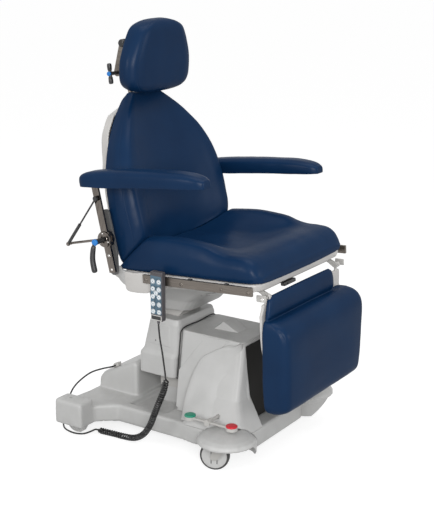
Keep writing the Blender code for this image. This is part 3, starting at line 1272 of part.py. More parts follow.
def build_cord():
    """Handset cord: straight lead, curly part, lead to the connector on the hump."""
    step = 5 * CORD_RADIUS
    upper = solid_tube(tube(smooth(upper_route(), step), CORD_RADIUS, 1, "upper"))
    upper.data.transform(WORLD["seat"].inverted() @ WORLD["base"])
    part(upper, "cord_upper", "cord_black", "seat")
    part(tube(helix(CURL_ROUTE), CORD_RADIUS, 1, "curl"), "cord_curl", "cord_black", "base")
    part(tube(smooth(LOWER_ROUTE, step), CORD_RADIUS, 1, "lower"), "cord_lower", "cord_black", "base")
    seat_rear, seat_front = DECK_REAR - 0.065, HUMP_FRONT + 0.016
    fall = (HUMP_TOP - HUMP_SHOULDER) / (seat_rear - seat_front)
    block = []
    rises = ((seat_rear - 0.001, GAP), (seat_rear - 0.023, GAP), (seat_rear - 0.023, 0.015),
             (seat_rear - 0.001, 0.017))
    for y, rise in rises:
        block.append((y, HUMP_SHOULDER + fall * (seat_rear - y) + rise))
    near = LOWER_ROUTE[-1][0] + GAP
    part(soften(prism(block, near, near + 0.022, "X"), 0.002, 1), "cord_connector", "wheel_grey", "base")


clear_scene()
make_bodies()
build_base_cover()
build_base_frame()
build_tower()
build_brake()
build_castors()
build_lift()
build_seat_frame()
build_seat_pad()
build_rails()
build_handset()
build_leg()
build_back()
build_head()
for arm_name, arm_side in SIDES.items():
    build_arm(arm_name, arm_side)
build_cord()
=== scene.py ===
"""Looks of a procedure chair: upholstery, mouldings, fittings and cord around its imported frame.

Metres, +Z up, +X to the seated person's left. The chair faces -Y.
"""
from __future__ import annotations

import json
import logging
import math
from dataclasses import dataclass
from enum import Enum
from typing import Iterable, Sequence

import bmesh
import bpy
import numpy as np
from bmesh.types import BMesh
from bpy.types import Material, Node, NodeSocket, NodeTree, Object
from mathutils import Matrix, Vector, noise
from mathutils.bvhtree import BVHTree

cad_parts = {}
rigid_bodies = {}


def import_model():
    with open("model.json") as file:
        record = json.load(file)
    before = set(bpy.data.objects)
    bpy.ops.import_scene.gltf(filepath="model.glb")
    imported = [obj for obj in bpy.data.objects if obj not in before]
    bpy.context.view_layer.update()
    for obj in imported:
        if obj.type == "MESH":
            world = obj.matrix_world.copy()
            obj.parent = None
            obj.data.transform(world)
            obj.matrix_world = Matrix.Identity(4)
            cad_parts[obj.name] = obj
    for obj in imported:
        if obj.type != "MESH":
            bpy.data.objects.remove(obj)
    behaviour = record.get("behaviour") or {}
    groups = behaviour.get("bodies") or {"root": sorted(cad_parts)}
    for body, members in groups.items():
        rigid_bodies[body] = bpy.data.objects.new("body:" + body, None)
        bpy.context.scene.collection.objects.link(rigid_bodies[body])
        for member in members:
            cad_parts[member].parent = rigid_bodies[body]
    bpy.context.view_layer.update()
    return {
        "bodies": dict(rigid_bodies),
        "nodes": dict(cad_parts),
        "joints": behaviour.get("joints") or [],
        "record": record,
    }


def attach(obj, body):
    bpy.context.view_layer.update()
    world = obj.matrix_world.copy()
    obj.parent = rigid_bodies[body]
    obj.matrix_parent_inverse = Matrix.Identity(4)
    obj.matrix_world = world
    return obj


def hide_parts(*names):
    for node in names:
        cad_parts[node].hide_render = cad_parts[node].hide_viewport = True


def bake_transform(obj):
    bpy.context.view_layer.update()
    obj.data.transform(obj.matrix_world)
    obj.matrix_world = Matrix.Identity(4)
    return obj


LOG = logging.getLogger("procedure_chair")
Pair = tuple[float, float]
Triple = tuple[float, float, float]
Row = tuple[float, ...]
Pairs = tuple[Pair, ...]
Route = tuple[Triple, ...]
Knots = Sequence[Pair]
Ring = list[Triple]
LEAST_RADIUS = 1e-5
LEAST_LENGTH = 1e-9
LEAST_STEP = 1e-6
ROUTE_PARTS = 24
TUBE_NORMAL = (0.31, 0.17, 0.93)
WHITE = (1.0, 1.0, 1.0)


class Side(Enum):
    """The seated person's two sides, with the sign of X."""

    RIGHT = -1
    LEFT = 1

    @property
    def label(self) -> str:
        """Name of the side as the frame's nodes spell it."""
        return self.name.lower()


class Slot(Enum):
    """Material slots of the record."""

    VINYL = "navy_vinyl"
    BASE = "base_grey"
    SHELL = "shell_white"
    PANEL = "panel_dark"
    PAINT = "frame_paint"
    STEEL = "brushed_steel"
    BLACK = "black_plastic"
    WHEEL = "wheel_grey"
    HANDSET = "handset_grey"
    BUTTON = "button_white"
    CORD = "cord_black"


@dataclass(frozen=True)
class Places:
    """Rest frames of the chair's bodies, each on its joint axis."""

    datum: float = 0.0029
    mast: float = 0.15
    tilt: Pair = (0.06, 0.5)
    seat_lean: float = math.radians(3.5)
    recline: Pair = (0.137, 0.137)
    back_lean: float = math.radians(10.0)
    leg_hinge: Pair = (-0.418, 0.087)
    head_high: Pair = (-0.0256, 0.7364)
    head_nod: float = math.radians(17.2)
    head_low: Pair = (0.0235, 0.643)
    hub: Pair = (-0.0055, 0.109)
    bar_set: float = -0.0045
    arm_drop: float = -0.065
    rail_out: float = 0.31
    rail_level: float = 0.122
    handset_y: float = -0.062
    brake: Pair = (-0.15, 0.153)
    castor: Pair = (0.26, -0.222)
    castor_trail: float = 0.04
    castor_radius: float = 0.05
    castor_turn: float = math.radians(22.0)

    @staticmethod
    def hinge(parent: Matrix, y: float, z: float, turn: float = 0.0) -> Matrix:
        """Return a frame set off in a parent's Y and Z and turned about X."""
        return parent @ Matrix.Translation((0.0, y, z)) @ Matrix.Rotation(turn, 4, "X")

    @property
    def base(self) -> Matrix:
        """Frame of the rolling base."""
        return Matrix.Translation((0.0, self.datum, 0.0))

    @property
    def carriage(self) -> Matrix:
        """Frame of the lift carriage."""
        return self.hinge(self.base, self.mast, 0.0)

    @property
    def seat(self) -> Matrix:
        """Frame of the seat, on the tilt axis."""
        return self.hinge(self.base, *self.tilt, -self.seat_lean)

    @property
    def back(self) -> Matrix:
        """Frame of the backrest, on the recline axis."""
        return self.hinge(self.seat, *self.recline, -self.back_lean)

    @property
    def leg(self) -> Matrix:
        """Frame of the leg section, on its hinge."""
        return self.hinge(self.seat, *self.leg_hinge)

    @property
    def head(self) -> Matrix:
        """Frame of the headrest, on its upper axle."""
        return self.hinge(self.back, *self.head_high, self.head_nod)

    @property
    def head_link(self) -> Matrix:
        """Frame of the headrest link, on its lower axle."""
        return self.hinge(self.back, *self.head_low)

    @property
    def handset(self) -> Matrix:
        """Frame of the handset, upright on the right rail's face."""
        local = Matrix.Translation((-self.rail_out, self.handset_y, self.rail_level))
        return self.seat @ local @ Matrix.Rotation(self.seat_lean, 4, "X")

    @property
    def brake_bar(self) -> Matrix:
        """Frame of the brake rockers, on their shaft."""
        return self.hinge(self.base, *self.brake)

    @property
    def clamp(self) -> Matrix:
        """Frame of the armrest clamps, on their hubs."""
        return self.hinge(self.back, *self.hub)

    def bar(self, side: Side) -> Matrix:
        """Frame of an armrest bar; the left one is set lower."""
        drop = self.arm_drop if side is Side.LEFT else 0.0
        return self.hinge(self.clamp, self.bar_set, drop)

    def swivel(self, side: Side) -> Matrix:
        """Frame of a front castor, on its swivel axis."""
        place = Matrix.Translation((side.value * self.castor[0], self.castor[1], 0.0))
        return self.base @ place @ Matrix.Rotation(-side.value * self.castor_turn, 4, "Z")

    def roll(self, side: Side) -> Matrix:
        """Frame of a front castor wheel, on its axle."""
        return self.hinge(self.swivel(side), self.castor_trail, self.castor_radius)


PLACES = Places()


def eased(knots: Knots, at: float) -> float:
    """Read a smooth value from a table of knots.

    Args:
        knots: Pairs of place and value, in rising order of place.
        at: The place to read.

    Returns:
        The value there, on a curve that keeps between neighbouring knots.
    """
    xs = [k[0] for k in knots]
    ys = [k[1] for k in knots]
    if at <= xs[0]:
        return ys[0]
    if at >= xs[-1]:
        return ys[-1]
    slopes = [(b - a) / (q - p) for p, q, a, b in zip(xs, xs[1:], ys, ys[1:])]
    lean = [slopes[0]]
    for a, b in zip(slopes, slopes[1:]):
        lean.append(0.0 if a * b <= 0 else 2 * a * b / (a + b))
    lean.append(slopes[-1])
    i = max(k for k in range(len(xs) - 1) if xs[k] <= at)
    step = xs[i + 1] - xs[i]
    t = (at - xs[i]) / step
    return (ys[i] * (1 + 2 * t) * (1 - t) ** 2 + lean[i] * step * t * (1 - t) ** 2
            + ys[i + 1] * t * t * (3 - 2 * t) + lean[i + 1] * step * t * t * (t - 1))


def ramp(at: float, start: float, end: float) -> float:
    """Share of the way from one value to another, kept between 0 and 1."""
    return min(1.0, max(0.0, (at - start) / (end - start)))


def curve_through(points: np.ndarray, shares: Sequence[Sequence[float]], closed: bool) -> np.ndarray:
    """Read points from a smooth curve that passes through given points.

    Args:
        points: The points to pass through, one row each.
        shares: For each span, the shares of it to read, from 0 up to below 1.
        closed: Whether the last point joins the first.

    Returns:
        The points read, and the very last point where the curve is open.
    """
    count = len(points)
    steps = np.linalg.norm(np.diff(points, axis=0, append=points[:1]), axis=1)
    steps = np.sqrt(np.maximum(steps, LEAST_STEP))
    rows = []
    for i, parts in enumerate(shares):
        if closed:
            a, b, c, d = (points[(i + k) % count] for k in (-1, 0, 1, 2))
            before, here, after = (steps[(i + k) % count] for k in (-1, 0, 1))
        else:
            b, c = points[i], points[i + 1]
            a = points[i - 1] if i else 2 * b - c
            d = points[i + 2] if i + 2 < count else 2 * c - b
            before = steps[i - 1] if i else steps[i]
            here = steps[i]
            after = steps[i + 1] if i + 2 < count else steps[i]
        start = ((c - b) / here * before + (b - a) / before * here) / (before + here) * here
        end = ((d - c) / after * here + (c - b) / here * after) / (after + here) * here
        t = np.asarray(parts)[:, None]
        rows.append(b * (1 + 2 * t) * (1 - t) ** 2 + start * t * (1 - t) ** 2
                    + c * t * t * (3 - 2 * t) + end * t * t * (t - 1))
    if not closed:
        rows.append(points[-1:])
    return np.concatenate(rows)


def even_shares(count: int) -> list[float]:
    """Shares that divide one span into equal parts."""
    return [k / count for k in range(count)]


def spaced_route(points: Sequence[Triple], step: float) -> np.ndarray:
    """Read points an even step apart from a smooth open route.

    Args:
        points: The points that the route passes through.
        step: The wanted distance between points.

    Returns:
        The points along the route, one row each.
    """
    knots = np.asarray(points, float)
    fine = curve_through(knots, [even_shares(ROUTE_PARTS)] * (len(knots) - 1), False)
    walked = np.concatenate([[0.0], np.cumsum(np.linalg.norm(np.diff(fine, axis=0), axis=1))])
    count = max(2, round(walked[-1] / step))
    places = np.linspace(0.0, walked[-1], count + 1)
    return np.stack([np.interp(places, walked, fine[:, k]) for k in range(3)], axis=1)


def both_halves(half: Ring) -> Ring:
    """Close a half section that starts on the centre line with its mirror image."""
    return half + [(-p[0], *p[1:]) for p in reversed(half[1:])]


def lofted(rings: Sequence[Ring], shares: Sequence[Sequence[float]], along: int) -> np.ndarray:
    """Read a dense grid from a smooth skin through closed sections.

    Args:
        rings: The sections, in order.
        shares: For each span round a section, the shares of it to read.
        along: Count of parts between two sections.

    Returns:
        The grid of points, rows along the skin.
    """
    dense = np.stack([curve_through(np.asarray(ring, float), shares, True) for ring in rings])
    parts = [even_shares(along)] * (len(rings) - 1)
    return np.stack([curve_through(dense[:, k], parts, False) for k in range(dense.shape[1])], axis=1)


def new_piece(name: str, form: BMesh, place: Matrix | None = None, crease: float = 42.0) -> Object:
    """Turn a bmesh into a smooth-shaded piece of the scene.

    Args:
        name: Name of the piece.
        form: The mesh under construction, which is used up.
        place: Frame that the mesh was built in, or none for the chair's own.
        crease: Angle in degrees from which an edge stays sharp.

    Returns:
        The new object, at the origin with its place in its mesh.
    """
    if place is not None:
        form.transform(place)
    bmesh.ops.recalc_face_normals(form, faces=form.faces)
    mesh = bpy.data.meshes.new(name)
    form.to_mesh(mesh)
    form.free()
    mesh.shade_smooth()
    mesh.set_sharp_from_angle(angle=math.radians(crease))
    piece = bpy.data.objects.new(name, mesh)
    bpy.context.scene.collection.objects.link(piece)
    return piece


def skin(form: BMesh, rings: Sequence[Sequence], ends: bool = True, loop: bool = False) -> None:
    """Skin rings of equal count into a bmesh.

    Args:
        form: The mesh to add to.
        rings: Rings of points, in order.
        ends: Whether the first and last ring are closed with a face.
        loop: Whether the last ring joins the first.
    """
    rows = [[form.verts.new(p) for p in ring] for ring in rings]
    count = len(rows[0])
    pairs = list(zip(rows, rows[1:]))
    if loop:
        pairs.append((rows[-1], rows[0]))
    for first, second in pairs:
        for i in range(count):
            j = (i + 1) % count
            form.faces.new((first[i], first[j], second[j], second[i]))
    if ends and not loop:
        form.faces.new(rows[0])
        form.faces.new(rows[-1])


def sweep(form: BMesh, line: np.ndarray, radius: float | Sequence[float], sides: int) -> None:
    """Run a round tube with closed ends along a line.

    Args:
        form: The mesh to add to.
        line: Points of the centreline.
        radius: One radius, or one for each point.
        sides: Count of sides.
    """
    last = len(line) - 1
    radii = [radius] * len(line) if isinstance(radius, float) else list(radius)
    normal = Vector(TUBE_NORMAL)
    rings = []
    for index, point in enumerate(line):
        along = Vector(line[min(index + 1, last)] - line[max(index - 1, 0)]).normalized()
        normal = (normal - along * normal.dot(along)).normalized()
        across = along.cross(normal)
        ring = []
        for k in range(sides):
            turn = 2 * math.pi * k / sides
            ring.append(Vector(point) + (normal * math.cos(turn) + across * math.sin(turn)) * radii[index])
        rings.append(ring)
    skin(form, rings)


def lathe(form: BMesh, profile: Knots, steps: int, place: Matrix, loop: bool = False) -> None:
    """Turn a profile about the X axis of a frame.

    Args:
        form: The mesh to add to.
        profile: Pairs of place along X and radius; a radius of 0 closes an end.
        steps: Count of sides.
        place: The frame.
        loop: Whether the profile closes on itself.
    """
    turns = [2 * math.pi * k / steps for k in range(steps)]
    rings = []
    for x, radius in profile:
        radius = max(radius, LEAST_RADIUS)
        spots = [(x, radius * math.cos(turn), radius * math.sin(turn)) for turn in turns]
        rings.append([place @ Vector(spot) for spot in spots])
    skin(form, rings, loop=loop)


def slab(form: BMesh, low: Triple, high: Triple, edge: float, place: Matrix) -> None:
    """Add a box with rounded edges.

    Args:
        form: The mesh to add to.
        low: Lowest corner in the frame.
        high: Highest corner in the frame.
        edge: Radius of its edges.
        place: The frame.
    """
    size = [b - a for a, b in zip(low, high)]
    middle = Matrix.Translation([(a + b) / 2 for a, b in zip(low, high)])
    part = bmesh.new()
    bmesh.ops.create_cube(part, size=1.0, matrix=middle @ Matrix.Diagonal((*size, 1.0)))
    if edge > 0:
        bmesh.ops.bevel(part, geom=part.edges[:], offset=edge, segments=3, profile=0.5, affect="EDGES")
    part.transform(place)
    mesh = bpy.data.meshes.new("part")
    part.to_mesh(mesh)
    part.free()
    form.from_mesh(mesh)
    bpy.data.meshes.remove(mesh)


def facing(direction: Triple) -> Matrix:
    """Frame at the origin whose X axis points along a direction."""
    return Vector(direction).to_track_quat("X", "Z").to_matrix().to_4x4()


class Graph:
    """Small helper that adds and links shader nodes in one tree."""

    def __init__(self, tree: NodeTree) -> None:
        """Keep the tree to work on."""
        self.tree = tree

    def add(self, kind: str, settings: dict | None = None, numbered: dict | None = None,
            **inputs: object) -> Node:
        """Add a node.

        Args:
            kind: Blender's name of the node type.
            settings: Properties of the node.
            numbered: Input values or output sockets, keyed by the input's index.
            inputs: The same, keyed by the input's name with _ for a space.

        Returns:
            The new node.
        """
        node = self.tree.nodes.new(kind)
        for key, value in (settings or {}).items():
            setattr(node, key, value)
        for index, value in (numbered or {}).items():
            self.feed(node.inputs[index], value)
        for key, value in inputs.items():
            self.feed(node.inputs[key.replace("_", " ")], value)
        return node

    def feed(self, socket: NodeSocket, value: object) -> None:
        """Link an output to a socket, or set the socket's own value.

        Args:
            socket: The input socket.
            value: An output socket or a plain value; a colour has three shares.
        """
        if isinstance(value, NodeSocket):
            self.tree.links.new(value, socket)
        else:
            socket.default_value = (*value, 1.0) if socket.type == "RGBA" else value

    def math(self, operation: str, a: object, b: object, clamp: bool = False) -> NodeSocket:
        """Add a Math node of two values, and return its output."""
        node = self.add("ShaderNodeMath", {"operation": operation, "use_clamp": clamp}, {0: a, 1: b})
        return node.outputs[0]

    def vector(self, operation: str, a: object, b: object) -> Node:
        """Add a Vector Math node of two vectors."""
        return self.add("ShaderNodeVectorMath", {"operation": operation}, {0: a, 1: b})

    def noise(self, at: object, scale: object, detail: float, roughness: float = 0.5) -> NodeSocket:
        """Add a Noise texture read at a place, and return its value."""
        node = self.add("ShaderNodeTexNoise", Vector=at, Scale=scale, Detail=detail,
                        Roughness=roughness)
        return node.outputs["Fac"]

    def spread(self, value: object, low: float, high: float, to_low: float = 0.0,
               to_high: float = 1.0) -> NodeSocket:
        """Map a value from one range to another, clamped, and return the output."""
        node = self.add("ShaderNodeMapRange", Value=value, From_Min=low, From_Max=high, To_Min=to_low,
                        To_Max=to_high)
        return node.outputs[0]

    def blend(self, share: object, first: object, second: object) -> NodeSocket:
        """Mix two colours by the share of the second, and return the output."""
        node = self.add("ShaderNodeMix", {"data_type": "RGBA"}, {0: share, 6: first, 7: second})
        return node.outputs[2]


class SharedGroup(Graph):
    """Node tree of an effect that several finishes share."""

    def __init__(self, name: str, inputs: dict[str, float], outputs: Sequence[str]) -> None:
        """Open the group, and make its sockets the first time.

        Args:
            name: Name of the group.
            inputs: Named value inputs with their defaults.
            outputs: Names of the value outputs.
        """
        self.fresh = name not in bpy.data.node_groups
        if not self.fresh:
            super().__init__(bpy.data.node_groups[name])
            return
        super().__init__(bpy.data.node_groups.new(name, "ShaderNodeTree"))
        for key, value in inputs.items():
            socket = self.tree.interface.new_socket(key, in_out="INPUT", socket_type="NodeSocketFloat")
            socket.default_value = value
        for key in outputs:
            self.tree.interface.new_socket(key, in_out="OUTPUT", socket_type="NodeSocketFloat")
        self.given = self.add("NodeGroupInput").outputs
        self.put = self.add("NodeGroupOutput").inputs
        self.at = self.add("ShaderNodeTexCoord").outputs["Object"]


class Effects:
    """The shared effects, each built once."""

    @staticmethod
    def grain() -> NodeTree:
        """Make fine moulded grain with a broad, faint mottle.

        Returns:
            The group, with Height and Tone.
        """
        group = SharedGroup("moulded_grain", {"Scale": 900.0, "Mottle": 9.0}, ("Height", "Tone"))
        if group.fresh:
            fine = group.noise(group.at, group.given["Scale"], 3.0, 0.6)
            broad = group.noise(group.at, group.given["Mottle"], 4.0, 0.55)
            group.feed(group.put["Height"], fine)
            group.feed(group.put["Tone"], group.spread(broad, 0.3, 0.7))
        return group.tree

    @staticmethod
    def leather() -> NodeTree:
        """Make pebbled vinyl grain with slow changes of tone.

        Returns:
            The group, with Height and Tone.
        """
        group = SharedGroup("vinyl_grain", {"Scale": 620.0, "Mottle": 6.0}, ("Height", "Tone"))
        if group.fresh:
            warp = group.add("ShaderNodeTexNoise", Vector=group.at, Scale=170.0, Detail=2.0)
            push = group.add("ShaderNodeVectorMath", {"operation": "SCALE"}, {0: warp.outputs["Color"]},
                             Scale=0.0022)
            moved = group.vector("ADD", group.at, push.outputs[0])
            cells = group.add("ShaderNodeTexVoronoi", {"feature": "DISTANCE_TO_EDGE"},
                              Vector=moved.outputs[0], Scale=group.given["Scale"])
            pebble = group.spread(cells.outputs["Distance"], 0.0, 0.28)
            fine = group.noise(group.at, 2400.0, 2.0)
            broad = group.noise(group.at, group.given["Mottle"], 3.0)
            coarse = group.math("MULTIPLY", pebble, 0.75)
            height = group.math("ADD", coarse, group.math("MULTIPLY", fine, 0.25))
            group.feed(group.put["Height"], height)
            group.feed(group.put["Tone"], group.spread(broad, 0.32, 0.68))
        return group.tree

    @staticmethod
    def edges() -> NodeTree:
        """Make a mask of convex edges, broken up by noise; mouldings lighten them for rubbing and as painted
        highlight lines, metals for rubbing.

        Returns:
            The group, with Edge.
        """
        group = SharedGroup("worn_edges", {"Radius": 0.003, "Break": 60.0}, ("Edge",))
        if group.fresh:
            soft = group.add("ShaderNodeBevel", {"samples": 4}, Radius=group.given["Radius"])
            true = group.add("ShaderNodeNewGeometry")
            dot = group.vector("DOT_PRODUCT", soft.outputs[0], true.outputs["Normal"])
            bent = group.spread(dot.outputs["Value"], 0.8, 0.995, 1.0, 0.0)
            part = group.spread(group.noise(group.at, group.given["Break"], 4.0), 0.38, 0.62, 0.15, 1.0)
            group.feed(group.put["Edge"], group.math("MULTIPLY", bent, part, True))
        return group.tree

    @staticmethod
    def dust() -> NodeTree:
        """Make a mask of dust and scuffs, thicker near the floor and on ledges.

        Returns:
            The group, with Dust.
        """
        group = SharedGroup("settled_dust", {"Top": 0.2, "Break": 26.0}, ("Dust",))
        if group.fresh:
            height = group.add("ShaderNodeSeparateXYZ", Vector=group.at).outputs["Z"]
            low = group.math("SUBTRACT", 1.0, group.math("DIVIDE", height, group.given["Top"]), True)
            true = group.add("ShaderNodeNewGeometry")
            up = group.add("ShaderNodeSeparateXYZ", Vector=true.outputs["Normal"]).outputs["Z"]
            ledge = group.spread(up, 0.55, 1.0, 0.0, 0.55)
            part = group.spread(group.noise(group.at, group.given["Break"], 5.0, 0.65), 0.35, 0.75)
            both = group.math("ADD", group.math("MULTIPLY", low, 0.75), ledge, True)
            group.feed(group.put["Dust"], group.math("MULTIPLY", both, part, True))
        return group.tree

    @staticmethod
    def brushed() -> NodeTree:
        """Make fine brush lines that run along one axis.

        Returns:
            The group, with Height and Tone.
        """
        group = SharedGroup("brush_lines", {"Across": 1500.0, "Along": 14.0, "Turn": 0.0}, ("Height", "Tone"))
        if group.fresh:
            turned = group.add("ShaderNodeVectorRotate", {"rotation_type": "X_AXIS"}, Vector=group.at,
                               Angle=group.given["Turn"])
            scale = group.add("ShaderNodeCombineXYZ", X=group.given["Across"], Y=group.given["Along"],
                              Z=group.given["Across"])
            stretched = group.vector("MULTIPLY", turned.outputs[0], scale.outputs[0])
            lines = group.noise(stretched.outputs[0], 1.0, 3.0)
            group.feed(group.put["Height"], lines)
            group.feed(group.put["Tone"], group.spread(lines, 0.3, 0.7))
        return group.tree


@dataclass(frozen=True)
class Finish:
    """A surface finish: its colours and how its node tree is made."""

    name: str
    slot: Slot
    colour: Triple
    second: Triple
    roughness: Pair = (0.4, 0.5)
    bump: float = 0.15
    depth: float = 0.0001
    specular: float = 0.5

    def material(self) -> Material:
        """Make the finish's material the first time.

        Returns:
            The material.
        """
        found = bpy.data.materials.get(self.name)
        if found is not None:
            return found
        made = bpy.data.materials.new(self.name)
        made.use_nodes = True
        shader = made.node_tree.nodes["Principled BSDF"]
        shader.inputs["Specular IOR Level"].default_value = self.specular
        self.wire(Graph(made.node_tree), shader)
        return made

    def wire(self, graph: Graph, shader: Node) -> None:
        """Feed the shader from the finish's nodes; each kind of finish has its own."""
        raise NotImplementedError

    @staticmethod
    def group(graph: Graph, tree: NodeTree, **inputs: float) -> Node:
        """Place a shared group with its own values.

        Args:
            graph: The material's graph.
            tree: The group.
            inputs: Values by the names of the group's inputs.

        Returns:
            The group's node.
        """
        node = graph.add("ShaderNodeGroup", {"node_tree": tree})
        for key, value in inputs.items():
            node.inputs[key].default_value = value
        return node

    @staticmethod
    def paler(colour: Triple, gain: float, lift: float) -> Triple:
        """Lighten a colour for edges: rubbed edges, and on mouldings painted highlight lines too."""
        return tuple(min(1.0, gain * c + lift) for c in colour)

    def relief(self, graph: Graph, shader: Node, height: object) -> None:
        """Feed the shader's normal from a height."""
        bump = graph.add("ShaderNodeBump", Strength=self.bump, Distance=self.depth, Height=height)
        graph.feed(shader.inputs["Normal"], bump.outputs[0])


@dataclass(frozen=True)
class Vinyl(Finish):
    """Upholstery vinyl with a pebbled grain under a thin sealed top layer."""

    coat: float = 0.068
    coat_index: float = 2.2
    coat_roughness: float = 0.34

    def wire(self, graph: Graph, shader: Node) -> None:
        """Feed colour, gloss and grain.

        Args:
            graph: The material's graph.
            shader: Its shader.
        """
        shader.inputs["Coat Weight"].default_value = self.coat
        shader.inputs["Coat IOR"].default_value = self.coat_index
        shader.inputs["Coat Roughness"].default_value = self.coat_roughness
        grain = self.group(graph, Effects.leather())
        tone = grain.outputs["Tone"]
        graph.feed(shader.inputs["Base Color"], graph.blend(tone, self.colour, self.second))
        graph.feed(shader.inputs["Roughness"], graph.spread(tone, 0.0, 1.0, *self.roughness))
        self.relief(graph, shader, grain.outputs["Height"])


@dataclass(frozen=True)
class Moulded(Finish):
    """Moulded plastic with fine grain, dust, and lighter edges that are partly rubbing and partly painted
    highlight lines.
    """

    grime: Triple = (0.2, 0.19, 0.17)
    dust: float = 0.22
    wear: float = 0.25
    scale: float = 900.0
    edge_tone: Pair = (1.25, 0.02)
    dust_roughness: float = 0.3

    def wire(self, graph: Graph, shader: Node) -> None:
        """Feed colour, gloss, dust, edges and grain.

        Args:
            graph: The material's graph.
            shader: Its shader.
        """
        grain = self.group(graph, Effects.grain(), Scale=self.scale)
        tone = grain.outputs["Tone"]
        dust = self.group(graph, Effects.dust())
        share = graph.math("MULTIPLY", dust.outputs["Dust"], self.dust)
        colour = graph.blend(share, graph.blend(tone, self.colour, self.second), self.grime)
        # Convex edges blend toward a paler colour: partly rubbed edges, partly a painted highlight along each
        # edge.
        edge = self.group(graph, Effects.edges())
        edge_mix = graph.math("MULTIPLY", edge.outputs["Edge"], self.wear)
        colour = graph.blend(edge_mix, colour, self.paler(self.colour, *self.edge_tone))
        graph.feed(shader.inputs["Base Color"], colour)
        shine = graph.spread(tone, 0.0, 1.0, *self.roughness)
        dull = graph.math("MULTIPLY", share, self.dust_roughness)
        graph.feed(shader.inputs["Roughness"], graph.math("ADD", shine, dull))
        self.relief(graph, shader, grain.outputs["Height"])


@dataclass(frozen=True)
class Metal(Finish):
    """Brushed or polished metal."""

    along: float = 14.0
    turn: float = 0.0
    anisotropy: float = 0.35
    edge_radius: float = 0.0015
    edge_share: float = 0.6
    edge_tone: Pair = (1.4, 0.05)

    def wire(self, graph: Graph, shader: Node) -> None:
        """Feed colour, gloss and brush lines.

        Args:
            graph: The material's graph.
            shader: Its shader.
        """
        lines = self.group(graph, Effects.brushed(), Along=self.along, Turn=self.turn)
        tone = lines.outputs["Tone"]
        edge = self.group(graph, Effects.edges(), Radius=self.edge_radius)
        edge_mix = graph.math("MULTIPLY", edge.outputs["Edge"], self.edge_share)
        colour = graph.blend(edge_mix, graph.blend(tone, self.colour, self.second),
                             self.paler(self.second, *self.edge_tone))
        graph.feed(shader.inputs["Base Color"], colour)
        shader.inputs["Metallic"].default_value = 1.0
        shader.inputs["Anisotropic"].default_value = self.anisotropy
        graph.feed(shader.inputs["Roughness"], graph.spread(tone, 0.0, 1.0, *self.roughness))
        self.relief(graph, shader, lines.outputs["Height"])


